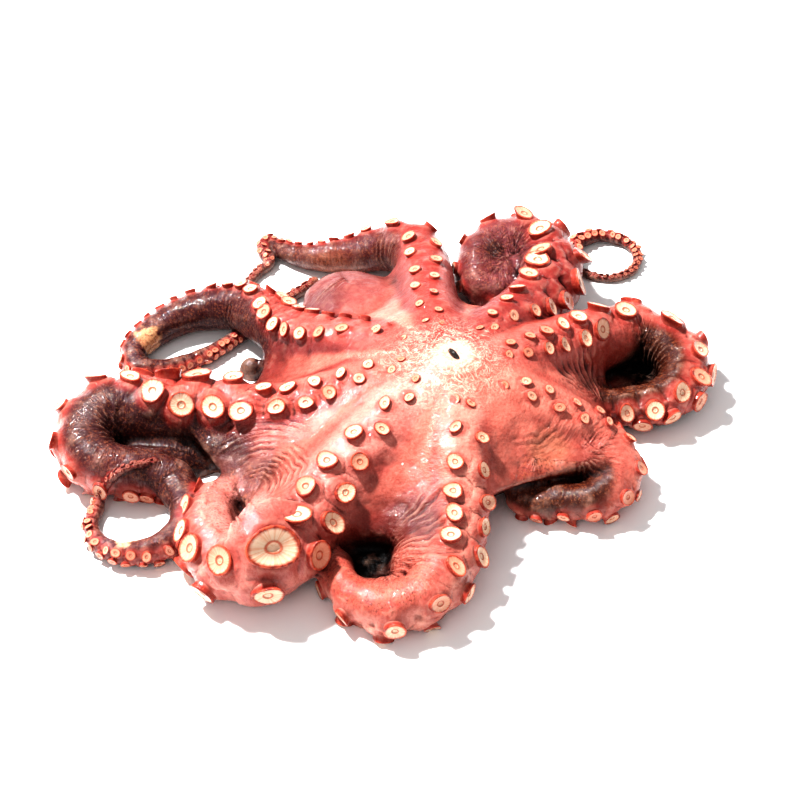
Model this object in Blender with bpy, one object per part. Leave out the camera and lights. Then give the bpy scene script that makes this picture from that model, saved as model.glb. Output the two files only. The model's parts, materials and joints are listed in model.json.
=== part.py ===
"""A whole octopus lying on its back, mouth up, with its eight arms curled outwards.

The frame: origin on the table straight below the mouth, +X to the right, +Y away
from the viewer, +Z up.  Lengths at the top are in millimetres and become metres
where the meshes are made.
"""
import math
from collections import namedtuple

import bmesh
import bpy
import numpy as np
from mathutils import Matrix, Vector

MM = 0.001

# ---------------------------------------------------------------- driving dimensions
MOUTH_HEIGHT = 78.0        # the top of the lips above the table
LIP_DEPTH = 3.0            # how far the flesh between the arm roots lies below the lips
SMALLEST_SUCKER = 9.3      # smaller suckers are left to the surface finish
SMALLEST_CUP = 11.0        # smaller suckers are plain pegs without a cup
CUP_SIDES = 7
PEG_SIDES = 6
# A sucker from its buried foot to the floor of its cup: (radius, height) in diameters.
SUCKER_PROFILE = [(0.40, -0.30), (0.50, 0.33), (0.28, 0.24)]

ARC_STEP = 25.0            # degrees between the places that an arc is swept into
STATION_SPACING = 6.0      # between the rings that an arm is built from
ROOT_RUN = 45.0            # an arm swells to its full girth over this length
ROOT_GIRTH = 0.82          # the share of its girth that it starts with
FLATTENED = 0.10           # how much an arm is flattened under its suckers, in radii
FULLER_SIDES = 0.03        # how much it bulges to each side of them, in radii
STOUT_SIDES = 14           # faces round a stout arm
THIN_SIDES = 6             # faces round a thin arm
THIN_RADIUS = 6.5          # arms thinner than this keep their own rings
SKIN_CELL = 2.0            # the grid that the one skin is grown on
SKIN_SOFTENING = 10        # rounds of smoothing
SKIN_KEPT = 0.0090         # the share of the skin's faces that is kept
TABLE_WIDTH = 700.0
TABLE_DEPTH = 90.0

# One arm: its radius where it is full, its radius at the tip, the share of its length
# that stays full, how fast it thins after that, its route, how far from the mouth each
# of its two rows of suckers starts, and how the suckers change along it.  That last is a
# list of (along, diameter, step within a row, angle of the one row, angle of the other).
Arm = namedtuple("Arm", "girth tip full fade route starts suckers")

# A route is a list of places (x, y, lift, roll).  Lift is the gap between the arm and
# the table.  Roll turns the sucker side from straight up towards the arm's right hand.
# A round stretch is an Arc about (x, y), swept from one compass angle to another.
Arc = namedtuple("Arc", "x y radius start stop lift roll")

ARMS = {
    "back": Arm(20, 3.5, 0.5, 1.6, [
        (-5, 18, 41, 0), (-10, 50, 34, 0), (-14, 85, 26, 0), (-16, 125, 16, 0),
        (-18, 150, 9, 5), (-25, 172, 6, 25), (-42, 183, 2, 50), (-68, 182, 0, 60),
        (-98, 184, 0, 60), (-118, 195, 0, 50), (-131, 206, 0, 30), (-133, 194, 1, 10),
        (-128, 184, 1, 0), (-137, 173, 0, 0), (-143, 161, 0, 0)],
        (14, 22), [(0, 4, 15, -8, 26), (45, 7, 22, -4, 30), (90, 9.5, 30, -16, 22),
                   (140, 11, 28, -26, 32), (175, 11, 20, -30, 38), (215, 8, 10, -30, 30),
                   (336, 3, 5, -27, 27)]),
    "back_right": Arm(21, 3, 0.42, 2.2, [
        (9, 18, 37, 0), (26, 43, 31, 5), (43, 72, 22, 15), (60, 105, 12, 25),
        (71, 132, 7, 20), Arc(46, 157, 25, 0, 215, (5, 0), (15, 115)),
        (42, 142, 0, 110), (74, 158, 0, 40), (91, 183, 0, 0),
        Arc(116, 192, 24, 150, -150, (0, 0), (0, 0))],
        (20, 14), [(0, 5, 18, -5, 5), (30, 7.5, 18, -22, 10), (52, 9.5, 20, -30, 20),
                   (80, 13.5, 24, -38, 32), (110, 19, 26, -40, 38), (150, 20, 24, -42, 38),
                   (195, 14, 18, -30, 30), (240, 9, 11, -27, 27), (483, 3, 4, -27, 27)]),
    "right": Arm(22, 11, 0.4, 1.0, [
        (17, 8, 38, 10), (39, 20, 31, 20), (62, 38, 22, 25), (85, 60, 12, 18),
        (105, 74, 4, -5), Arc(123, 51, 32, 92, -95, (2, 0), (-28, -80)),
        (100, 20, 0, -95), (82, 23, 0, -100)],
        (12, 18), [(0, 5, 13, -17, 14), (40, 9.5, 14, -18, 15), (62, 12, 18, -20, 16),
                   (90, 14.5, 34, -26, 20), (140, 17, 34, -24, 24), (185, 16, 15, -22, 24),
                   (261, 12, 15, -22, 24)]),
    "front_right": Arm(19, 9, 0.35, 1.0, [
        (15, -5, 40, 10), (33, -10, 34, 18), (54, -14, 24, 18), (76, -20, 13, 5),
        Arc(79, -44, 24.5, 48, -120, (3, 0), (-45, -125)),
        (52, -67, 0, -130), (40, -61, 0, -130)],
        (14, 24), [(0, 5, 18, -18, 8), (30, 8, 18, -14, 14), (66, 7.5, 17, -16, 16),
                   (100, 9, 15, -20, 20), (130, 11, 16, -20, 20), (171, 9, 16, -20, 20)]),
    "front": Arm(19, 10, 0.5, 1.0, [
        (0, -17, 38, 0), (2, -37, 32, 0), (3, -56, 24, 0), (3, -76, 13, -5),
        (1, -96, 5, -18), (-3, -118, 1, -25), (-10, -138, 0, -60),
        (-24, -152, 0, -95), (-42, -157, 0, -112), (-58, -149, 0, -118), (-69, -134, 0, -122),
        (-71, -117, 0, -126)],
        (12, 16), [(0, 5, 22, -4, 18), (40, 10, 20, -9, 40), (85, 13, 18, -20, 40),
                   (125, 14, 18, -30, 30), (170, 14, 22, -15, 32), (223, 11, 20, -15, 30)]),
    "front_left": Arm(24, 10, 0.55, 1.0, [
        (-13, -9, 34, 0), (-30, -24, 26, 0), (-48, -42, 17, -5), (-67, -61, 9, -15),
        (-84, -83, 3, -25), (-96, -105, 0, -35), (-107, -124, 0, -50), (-123, -132, 0, -65),
        (-139, -122, 0, -80), (-148, -100, 0, -90), (-149, -76, 0, -90),
        (-141, -58, 0, -90), (-128, -62, 0, -90)],
        (9, 22), [(0, 5, 28, -4, 8), (36, 10, 27, -2, 20), (75, 12, 26, -12, 24),
                  (115, 15, 24, -28, 23), (150, 20, 19, -32, 28), (200, 18, 18, -34, 34),
                  (270, 10, 14, -30, 30)]),
    "left": Arm(23, 2, 0.42, 1.4, [
        (-17, 1, 35, 0), (-40, -1, 28, 0), (-65, -4, 19, 0), (-90, -7, 11, 0),
        (-116, -6, 4, 0), (-142, -1, 1, 0), (-167, 4, 0, 0), (-191, 4, 0, 25),
        Arc(-209, -20, 25, 100, 275, (0, 0), (60, 125)),
        (-188, -46, 0, 140), (-173, -51, 0, 180),
        Arc(-194, -77, 30, 45, -200, (0, 0), (220, 330)),
        (-219, -60, 9, 350), (-208, -59, 26, 360), (-196, -54, 29, 360), (-184, -47, 26, 360)],
        (12, 20), [(0, 5, 20, -10, 15), (45, 9, 18, 0, 22), (80, 11.5, 18, 2, 38),
                   (105, 14, 24, -8, 34), (135, 18, 25, -30, 36), (165, 18, 16, -20, 50),
                   (200, 15, 16, -30, 35), (260, 12, 14, -27, 27), (330, 9, 10, -27, 27),
                   (500, 3, 4, -27, 27)]),
    "back_left": Arm(19, 4, 0.36, 2.2, [
        (-16, 9, 40, 0), (-38, 26, 33, 0), (-62, 43, 24, 0), (-85, 60, 14, 0),
        (-106, 78, 6, 5), (-123, 98, 3, 20), (-139, 114, 1, 45), (-157, 119, 0, 60),
        (-177, 116, 0, 75), (-195, 106, 0, 85), (-208, 92, 0, 90), (-215, 76, 0, 90),
        (-210, 62, 0, 90), (-196, 63, 0, 90), (-177, 71, 0, 90), (-160, 85, 0, 60),
        (-144, 101, 0, 30), (-128, 122, 0, 0), (-113, 143, 0, 0), (-103, 154, 0, 0),
        (-95, 163, 0, 0)],
        (16, 20), [(0, 4, 18, -35, -10), (32, 7.5, 22, -42, -2), (58, 9, 18, -44, 12),
                   (75, 9.5, 15, -44, 28), (100, 10.5, 13, -35, 46), (125, 12, 12, -15, 46),
                   (150, 11, 13, -12, 40), (175, 9.5, 12, 0, 42), (215, 8, 10, -20, 35),
                   (300, 6, 7, -27, 27), (438, 3.5, 4, -27, 27)]),
}


# ---------------------------------------------------------------- the head, webs and bag
HEAD_RADIUS = 60.0          # the solid mass of head below the arm roots
HEAD_HEIGHT = 58.0          # half the head's height, from its middle to its top
FLOOR_DEPTH = 4.0           # how far the soft forms run below the table before the cut

# The bag of the body lies on the table and shows between the two back arms.
Bag = namedtuple("Bag", "x y z length width height heading")
BAG = Bag(-51, 84, 22, 66, 42, 26, 124)

# A web joins each arm to the next, counter-clockwise.  Its edge reaches `reach` from
# the mouth half way between the two arms, at height `edge`, and the web sinks by
# `sag` below a straight line from arm to arm.  Below its free edge the flesh is drawn
# in towards the mouth by the share `tuck`.
Web = namedtuple("Web", "first second along_first along_second reach edge sag tuck")
WEBS = [
    Web("right", "back_right", 115, 110, 100, 16, 3, 0),
    Web("back_right", "back", 105, 130, 108, 20, 4, 0),
    Web("back", "back_left", 150, 112, 128, 31, 1, 0.1),
    Web("back_left", "left", 160, 158, 138, 12, 2, 0.1),
    Web("left", "front_left", 178, 158, 152, 20, 1, 0.1),
    Web("front_left", "front", 135, 125, 112, 22, 0, 0),
    Web("front", "front_right", 85, 118, 82, 29, 0, 0.45),
    Web("front_right", "right", 112, 115, 102, 20, 2, 0),
]
WEB_STEPS_OUT = 14
WEB_STEPS_ACROSS = 12
WEB_HEIGHT = 0.92           # where a web leaves the arm, above its middle, in arm radii
WEB_FROM = 10.0             # how far along the arms it starts

# Flesh drawn together inside each curl closes its middle: a low mound at
# (x, y), with its half-length, half-width, height and heading.
Mound = namedtuple("Mound", "x y length width height heading")
MOUNDS = [
    Mound(-188, -20, 40, 20, 20, 0),
    Mound(-38, -145, 33, 17, 24, 0),
    Mound(-50, -114, 20, 20, 7, 0),
    Mound(125, 50, 30, 16, 10, 10),
    Mound(80, -44, 17, 15, 9, 0),
    Mound(-130, -84, 16, 26, 14, 0),
    Mound(42, 155, 24, 22, 33, 0),
    Mound(-19, -118, 22, 24, 32, 0),
    Mound(-134, 67, 10, 8, 14, 0),
]

# One sucker is far larger than the rest, as on a grown male.
Giant = namedtuple("Giant", "arm row along size")
GIANT = Giant("front_left", 0, 156, 34)

# The beak: a dark ridge that fills the slit of the mouth.
BEAK_LENGTH = 15.0
BEAK_WIDTH = 5.5
BEAK_HEIGHT = 10.0
BEAK_HEADING = -61.0
BEAK_PROUD = 2.2            # how far its crest stands above the flesh round it
BEAK_GAP = 0.4              # clear space between the beak and its socket

FLESH_COLOUR = (0.62, 0.24, 0.22)
BEAK_COLOUR = (0.02, 0.015, 0.012)


# ---------------------------------------------------------------- routes and rings
def route_places(route):
    """Every place along a route, with its arcs swept into places."""
    places = []
    for item in route:
        if not isinstance(item, Arc):
            places.append(item)
            continue
        steps = max(2, round(abs(item.stop - item.start) / ARC_STEP))
        for step in range(steps + 1):
            share = step / steps
            angle = math.radians(item.start + (item.stop - item.start) * share)
            places.append((
                item.x + item.radius * math.cos(angle),
                item.y + item.radius * math.sin(angle),
                item.lift[0] + (item.lift[1] - item.lift[0]) * share,
                item.roll[0] + (item.roll[1] - item.roll[0]) * share))
    return np.array(places, dtype=float)


def smooth_curve(places, per_span=12):
    """A Catmull-Rom curve through the places."""
    padded = np.vstack([2 * places[0] - places[1], places, 2 * places[-1] - places[-2]])
    points = []
    for start in range(1, len(padded) - 2):
        before, here, there, after = padded[start - 1:start + 3]
        for step in range(per_span):
            t = step / per_span
            points.append(0.5 * (
                2 * here + (there - before) * t
                + (2 * before - 5 * here + 4 * there - after) * t ** 2
                + (3 * here - before - 3 * there + after) * t ** 3))
    points.append(padded[-2])
    return np.array(points)


class Limb:
    """An arm as stations along its middle: place, radius, and the way its suckers face."""

    def __init__(self, arm, spacing):
        curve = smooth_curve(route_places(arm.route))
        steps = np.linalg.norm(np.diff(curve[:, :3], axis=0), axis=1)
        travelled = np.concatenate([[0.0], np.cumsum(steps)])
        self.length = travelled[-1]
        count = int(self.length / spacing) + 1
        self.along = np.linspace(0.0, self.length, count)
        sampled = [np.interp(self.along, travelled, curve[:, k]) for k in range(4)]
        thinning = np.clip((self.along / self.length - arm.full) / (1 - arm.full), 0, 1)
        self.radius = arm.tip + (arm.girth - arm.tip) * (1 - thinning) ** arm.fade
        self.radius *= ROOT_GIRTH + (1 - ROOT_GIRTH) * np.clip(self.along / ROOT_RUN, 0, 1)
        self.place = np.stack([
            sampled[0], sampled[1], np.maximum(sampled[2], 0) + self.radius], axis=1)
        forward = np.gradient(self.place, axis=0)
        self.forward = forward / np.linalg.norm(forward, axis=1)[:, None]
        right = np.cross(self.forward, (0, 0, 1))
        right /= np.linalg.norm(right, axis=1)[:, None]
        upward = np.cross(right, self.forward)
        roll = np.radians(sampled[3])[:, None]
        self.facing = np.cos(roll) * upward + np.sin(roll) * right
        self.side = np.cross(self.facing, self.forward)

    def at(self, distance):
        """The index of the station nearest to a distance along the arm."""
        return int(np.argmin(np.abs(self.along - distance)))


def flesh_radius(angle):
    """The arm's cross-section, as a share of its radius, round from the sucker side.

    It is flattened under the suckers and fullest a little to each side of them.
    """
    return (1.0 - FLATTENED * max(0.0, math.cos(angle)) ** 3
            + FULLER_SIDES * math.cos(2 * angle + math.pi))


def ring_points(limb, index, sides, scale=1.0):
    """One ring of the arm's skin, at a station."""
    points = []
    for side in range(sides):
        angle = 2 * math.pi * side / sides
        outwards = math.cos(angle) * limb.facing[index] + math.sin(angle) * limb.side[index]
        reach = limb.radius[index] * flesh_radius(angle) * scale
        points.append(limb.place[index] + outwards * reach)
    return points


def add_rings(mesh, rings):
    """Closed rings joined into a tube, with each end drawn in to a point."""
    loops = [[mesh.verts.new(Vector(point) * MM) for point in ring] for ring in rings]
    count = len(loops[0])
    for first, second in zip(loops, loops[1:]):
        for k in range(count):
            n = (k + 1) % count
            mesh.faces.new((first[k], first[n], second[n], second[k]))
    mesh.faces.new(list(reversed(loops[0])))
    mesh.faces.new(loops[-1])


def rounded_end(limb, index, sides, angles):
    """Rings that close a tube in a round end beyond a station."""
    rings = []
    for angle in np.radians(angles):
        push = limb.forward[index] * limb.radius[index] * math.sin(angle)
        rings.append([p + push for p in ring_points(limb, index, sides, math.cos(angle))])
    return rings


def thin_from(limb):
    """The first station of an arm's thin tip, or one past the end if it has none."""
    thin = np.nonzero(limb.radius < THIN_RADIUS)[0]
    return int(thin[thin > limb.at(ROOT_RUN)][0]) if len(thin) else len(limb.along)


def add_arm(mesh, limb):
    """The stout stretch of an arm."""
    stop = min(thin_from(limb), len(limb.along) - 1)
    rings = [ring_points(limb, index, STOUT_SIDES) for index in range(stop + 1)]
    add_rings(mesh, rings + rounded_end(limb, stop, STOUT_SIDES, (30, 55, 78)))


def add_thin_tip(mesh, limb):
    """The thin end of an arm, whose root lies inside the stout stretch."""
    start = thin_from(limb)
    last = len(limb.along) - 1
    if start >= last:
        return
    rings = [ring_points(limb, start - 2, THIN_SIDES, 0.6),
             ring_points(limb, start - 1, THIN_SIDES, 0.8)]
    rings += [ring_points(limb, index, THIN_SIDES) for index in range(start + 1, last, 2)]
    rings.append(ring_points(limb, last, THIN_SIDES))
    add_rings(mesh, rings + rounded_end(limb, last, THIN_SIDES, (55,)))


def add_block(mesh, top, tuck):
    """A solid from a grid of points down to below the table, tucked in under its free edge."""
    rows, columns = top.shape[:2]
    bottom = top.copy()
    bottom[:, :, 2] = -FLOOR_DEPTH
    out = np.linspace(0, 1, rows)[:, None] ** 2
    slack = np.sin(np.pi * np.linspace(0, 1, columns))[None]
    bottom[:, :, :2] *= 1 - tuck * (out * slack)[:, :, None]
    upper = [[mesh.verts.new(Vector(p) * MM) for p in row] for row in top]
    lower = [[mesh.verts.new(Vector(p) * MM) for p in row] for row in bottom]
    for i in range(rows - 1):
        for j in range(columns - 1):
            mesh.faces.new((upper[i][j], upper[i + 1][j], upper[i + 1][j + 1], upper[i][j + 1]))
            mesh.faces.new((lower[i][j], lower[i][j + 1], lower[i + 1][j + 1], lower[i + 1][j]))
    rim = [(i, 0) for i in range(rows - 1)] + [(rows - 1, j) for j in range(columns - 1)]
    rim += [(i, columns - 1) for i in range(rows - 1, 0, -1)]
    rim += [(0, j) for j in range(columns - 1, 0, -1)]
    for (a, b), (c, d) in zip(rim, rim[1:] + rim[:1]):
        mesh.faces.new((upper[a][b], lower[a][b], lower[c][d], upper[c][d]))


def web_grid(web, limbs):
    """The top of a web: slung from arm to arm, sagging, with a scooped free edge."""
    first, second = limbs[web.first], limbs[web.second]
    grid = np.zeros((WEB_STEPS_OUT + 1, WEB_STEPS_ACROSS + 1, 3))
    ends = []
    for limb, along in ((first, web.along_first), (second, web.along_second)):
        reach = [limb.at(WEB_FROM + (along - WEB_FROM) * k / WEB_STEPS_OUT)
                 for k in range(WEB_STEPS_OUT + 1)]
        middle = limb.place[reach].copy()
        middle[:, 2] += WEB_HEIGHT * limb.radius[reach]
        ends.append(middle)
    chord = (ends[0][-1] + ends[1][-1]) / 2
    scoop = 1 - web.reach / math.hypot(chord[0], chord[1])
    for i in range(WEB_STEPS_OUT + 1):
        out = i / WEB_STEPS_OUT
        for j in range(WEB_STEPS_ACROSS + 1):
            across = j / WEB_STEPS_ACROSS
            slack = math.sin(math.pi * across)
            point = ends[0][i] * (1 - across) + ends[1][i] * across
            point[:2] *= 1 - scoop * slack * out ** 1.5
            point[2] -= web.sag * slack * math.sin(math.pi * min(out, 0.5))
            point[2] += (web.edge - point[2]) * slack * out ** 3
            grid[i, j] = point
    return grid


def add_ball(mesh, middle, sizes, heading=0.0, segments=32, rings=20):
    """A ball stretched to three half-sizes and turned about Z."""
    place = Matrix.Translation(Vector(middle) * MM)
    turn = Matrix.Rotation(math.radians(heading), 4, "Z")
    stretch = Matrix.Diagonal(Vector(sizes) * MM).to_4x4()
    bmesh.ops.create_uvsphere(
        mesh, u_segments=segments, v_segments=rings, radius=1.0,
        matrix=place @ turn @ stretch)


# ---------------------------------------------------------------- suckers
def sucker_seats(name, arm, limb):
    """Every sucker of an arm, row by row: (foot, outwards, forward, diameter)."""
    knots = np.array(arm.suckers, dtype=float)
    seats = []
    for row, start in enumerate(arm.starts):
        along = start
        while along < limb.length:
            size, step, *angles = (np.interp(along, knots[:, 0], knots[:, k]) for k in (1, 2, 3, 4))
            angle = math.radians(angles[row])
            index = limb.at(along)
            outwards = math.cos(angle) * limb.facing[index] + math.sin(angle) * limb.side[index]
            foot = limb.place[index] + outwards * limb.radius[index] * flesh_radius(angle)
            if name == GIANT.arm and row == GIANT.row and abs(along - GIANT.along) < step / 2:
                size = GIANT.size
            seats.append((foot, outwards, limb.forward[index], size))
            along += step
    return seats


def add_sucker(mesh, foot, outwards, forward, size):
    """One sucker: a stalk that widens to a rim round a shallow cup."""
    across = np.cross(outwards, forward)
    cupped = size >= SMALLEST_CUP
    profile = SUCKER_PROFILE if cupped else SUCKER_PROFILE[:2]
    sides = CUP_SIDES if cupped else PEG_SIDES
    rings = []
    for radius, height in profile:
        ring = []
        for side in range(sides):
            angle = 2 * math.pi * side / sides
            spoke = math.cos(angle) * forward + math.sin(angle) * across
            ring.append(foot + outwards * height * size + spoke * radius * size)
        rings.append(ring)
    add_rings(mesh, rings)


# ---------------------------------------------------------------- objects
def new_object(name, mesh, material=None):
    """A bmesh made into an object in the scene, with its faces turned outwards."""
    bmesh.ops.recalc_face_normals(mesh, faces=mesh.faces)
    data = bpy.data.meshes.new(name)
    mesh.to_mesh(data)
    mesh.free()
    thing = bpy.data.objects.new(name, data)
    bpy.context.collection.objects.link(thing)
    if material:
        data.materials.append(material)
    return thing


def as_guide(thing):
    """Marks an object as a cutter or guide that isn't part of the model."""
    thing.hide_render = True
    thing.display_type = "WIRE"


def new_material(name, colour, roughness):
    material = bpy.data.materials.new(name)
    material.use_nodes = True
    shader = material.node_tree.nodes["Principled BSDF"]
    shader.inputs["Base Color"].default_value = (*colour, 1.0)
    shader.inputs["Roughness"].default_value = roughness
    shader.inputs["Metallic"].default_value = 0.0
    return material


def boolean(thing, other, operation):
    step = thing.modifiers.new(other.name, "BOOLEAN")
    step.operation = operation
    step.solver = "EXACT"
    step.use_self = True
    step.object = other


def build_flesh(limbs):
    """The whole animal's flesh: arms, webs, head and bag grown into one skin."""
    mesh = bmesh.new()
    for limb in limbs.values():
        add_arm(mesh, limb)
    for web in WEBS:
        add_block(mesh, web_grid(web, limbs), web.tuck)
    head_middle = MOUTH_HEIGHT - LIP_DEPTH - HEAD_HEIGHT
    add_ball(mesh, (0, 0, head_middle), (HEAD_RADIUS, HEAD_RADIUS, HEAD_HEIGHT))
    add_ball(mesh, (BAG.x, BAG.y, BAG.z), (BAG.length, BAG.width, BAG.height), BAG.heading)
    for mound in MOUNDS:
        add_ball(mesh, (mound.x, mound.y, 0), (mound.length, mound.width, mound.height),
                 mound.heading)
    flesh = new_object("octopus", mesh, new_material("flesh", FLESH_COLOUR, 0.25))
    grow = flesh.modifiers.new("one skin", "REMESH")
    grow.mode = "VOXEL"
    grow.voxel_size = SKIN_CELL * MM
    soften = flesh.modifiers.new("soften", "SMOOTH")
    soften.factor = 0.5
    soften.iterations = SKIN_SOFTENING
    thin = flesh.modifiers.new("thin out", "DECIMATE")
    thin.ratio = SKIN_KEPT
    return flesh


def build_thin_tips(limbs):
    mesh = bmesh.new()
    for limb in limbs.values():
        add_thin_tip(mesh, limb)
    return new_object("thin tips", mesh)


def build_suckers(limbs):
    mesh = bmesh.new()
    count = 0
    for name, limb in limbs.items():
        for foot, outwards, forward, size in sucker_seats(name, ARMS[name], limb):
            if size >= SMALLEST_SUCKER:
                add_sucker(mesh, foot, outwards, forward, size)
                count += 1
    print("suckers:", count)
    return new_object("suckers", mesh)


def build_beak(name, gap, material=None):
    """The beak, or with a gap round it the cutter of its socket."""
    mesh = bmesh.new()
    middle = (0, 0, MOUTH_HEIGHT - LIP_DEPTH + BEAK_PROUD - BEAK_HEIGHT / 2)
    sizes = (BEAK_LENGTH / 2 + gap, BEAK_WIDTH / 2 + gap, BEAK_HEIGHT / 2 + gap)
    add_ball(mesh, middle, sizes, BEAK_HEADING, 12, 8)
    return new_object(name, mesh, material)


def build_table():
    """The space below the table, which cuts the resting side flat."""
    mesh = bmesh.new()
    size = Vector((TABLE_WIDTH, TABLE_WIDTH, TABLE_DEPTH)) * MM
    middle = Matrix.Translation((0, 0, -TABLE_DEPTH * MM / 2))
    bmesh.ops.create_cube(mesh, size=1.0, matrix=middle @ Matrix.Diagonal(size).to_4x4())
    return new_object("table", mesh)


def main():
    for thing in list(bpy.data.objects):
        bpy.data.objects.remove(thing, do_unlink=True)
    limbs = {name: Limb(arm, STATION_SPACING) for name, arm in ARMS.items()}
    flesh = build_flesh(limbs)
    table = build_table()
    tips = build_thin_tips(limbs)
    suckers = build_suckers(limbs)
    socket = build_beak("socket", BEAK_GAP)
    build_beak("beak", 0.0, new_material("beak", BEAK_COLOUR, 0.15))
    for guide in (tips, suckers, socket, table):
        as_guide(guide)
    boolean(flesh, tips, "UNION")
    boolean(flesh, suckers, "UNION")
    boolean(flesh, socket, "DIFFERENCE")
    boolean(flesh, table, "DIFFERENCE")


main()
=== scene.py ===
# %% [markdown]
# # A whole octopus, lying on its back
# The animal lies mouth up, its eight arms curled outwards over the table.  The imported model
# gives its size and place.  This lesson puts living skin on it: one soft body grown out of
# simple forms, suckers copied along every arm, and wet, mottled materials.

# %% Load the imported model
import json
import math
from collections import namedtuple

import bpy
import numpy as np
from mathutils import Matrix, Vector

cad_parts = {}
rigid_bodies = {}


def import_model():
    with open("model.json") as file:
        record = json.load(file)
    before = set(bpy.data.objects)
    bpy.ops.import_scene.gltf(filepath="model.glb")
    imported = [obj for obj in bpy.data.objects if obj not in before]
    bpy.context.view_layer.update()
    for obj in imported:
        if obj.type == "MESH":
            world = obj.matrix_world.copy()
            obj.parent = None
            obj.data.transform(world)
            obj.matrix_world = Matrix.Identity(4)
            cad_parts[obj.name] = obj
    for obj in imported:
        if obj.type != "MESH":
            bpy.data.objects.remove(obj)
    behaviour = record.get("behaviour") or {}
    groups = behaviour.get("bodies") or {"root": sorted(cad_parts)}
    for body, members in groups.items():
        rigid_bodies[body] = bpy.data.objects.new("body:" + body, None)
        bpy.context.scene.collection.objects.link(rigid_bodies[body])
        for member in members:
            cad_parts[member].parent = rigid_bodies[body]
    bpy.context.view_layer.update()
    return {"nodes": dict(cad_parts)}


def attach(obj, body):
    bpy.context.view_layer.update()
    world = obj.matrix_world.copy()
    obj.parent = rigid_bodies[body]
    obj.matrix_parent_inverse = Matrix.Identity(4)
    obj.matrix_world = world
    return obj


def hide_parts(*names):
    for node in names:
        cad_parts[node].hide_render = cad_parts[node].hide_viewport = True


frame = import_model()
MM = 0.001
scene = bpy.context.scene
print("frame nodes:", sorted(frame["nodes"]))

# %% [markdown]
# ## Where the viewer stands
# A long lens a good metre away keeps the octopus free of stretch at its edges.  The camera looks
# down at forty-two degrees, so that the mouth, the webs and the sides of the front arms all show.

# %% Camera
VIEW_DISTANCE = 1.15
VIEW_ELEVATION = math.radians(42)
VIEW_TARGET = Vector((-0.0336, 0.0126, 0.025))

step_back = Vector((0, -math.cos(VIEW_ELEVATION), math.sin(VIEW_ELEVATION))) * VIEW_DISTANCE
bpy.ops.object.camera_add(
    location=VIEW_TARGET + step_back, rotation=(math.pi / 2 - VIEW_ELEVATION, 0, 0))
camera = bpy.context.object
camera.name = "camera"
camera.data.lens = 80
camera.data.clip_start = 0.05
scene.camera = camera
print("camera stands at", tuple(round(value, 3) for value in camera.location))

# %% [markdown]
# ## Small tools
# Edit-mode operators work on whatever is selected, so every step starts by letting go of
# everything.  Colours are written as a painter reads them from a swatch, from 0 to 255, and
# turned into the linear light that a shader works in.


# %% Helpers for selecting, joining and colouring
def alone(*things):
    """Select these objects and nothing else."""
    if bpy.context.object and bpy.context.object.mode != "OBJECT":
        bpy.ops.object.mode_set(mode="OBJECT")
    bpy.ops.object.select_all(action="DESELECT")
    for thing in things:
        thing.select_set(True)
    bpy.context.view_layer.objects.active = things[0]
    return things[0]


def join(things, name):
    """Join objects into the first one and give it a name."""
    alone(*things)
    bpy.ops.object.join()
    joined = bpy.context.object
    joined.name = name
    joined.data.name = name
    return joined


def apply_step(thing, kind, **settings):
    """Add one modifier, set it, and apply it."""
    alone(thing)
    modifier = thing.modifiers.new(kind.lower(), kind)
    for key, value in settings.items():
        setattr(modifier, key, value)
    bpy.ops.object.modifier_apply(modifier=modifier.name)


def triangle_count(thing):
    """How many triangles the faces of a mesh come to."""
    return sum(len(face.vertices) - 2 for face in thing.data.polygons)


def swatch(red, green, blue):
    """A colour from a 0 to 255 swatch, as linear light."""
    values = np.array((red, green, blue), dtype=float) / 255
    return np.where(values <= 0.04045, values / 12.92, ((values + 0.055) / 1.055) ** 2.4)


def smooth_step(low, high, values):
    """A soft rise from 0 at low to 1 at high, which may lie either way round."""
    share = np.clip((values - low) / (high - low), 0, 1)
    return share * share * (3 - 2 * share)


print("a mid grey swatch as linear light:", swatch(128, 128, 128).round(3))

# %% [markdown]
# ## The eight arms
# An arm is a long muscle that thins from root to tip.  Its route is a short list of places in
# millimetres: x, y, the gap under it, and its roll, which turns the sucker side from straight up
# towards the arm's right hand.  Round curls are arcs.  These are the same routes that the solid
# model is built from, so the skin lands exactly on it.  After its route, each arm says how far
# from the mouth its two rows of suckers start, and how the suckers change along it: distance
# along, diameter, step within a row, and the angles at which the two rows stand.

# %% Arm routes
Arm = namedtuple("Arm", "girth tip full fade route starts suckers")
Arc = namedtuple("Arc", "x y radius start stop lift roll")

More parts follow.
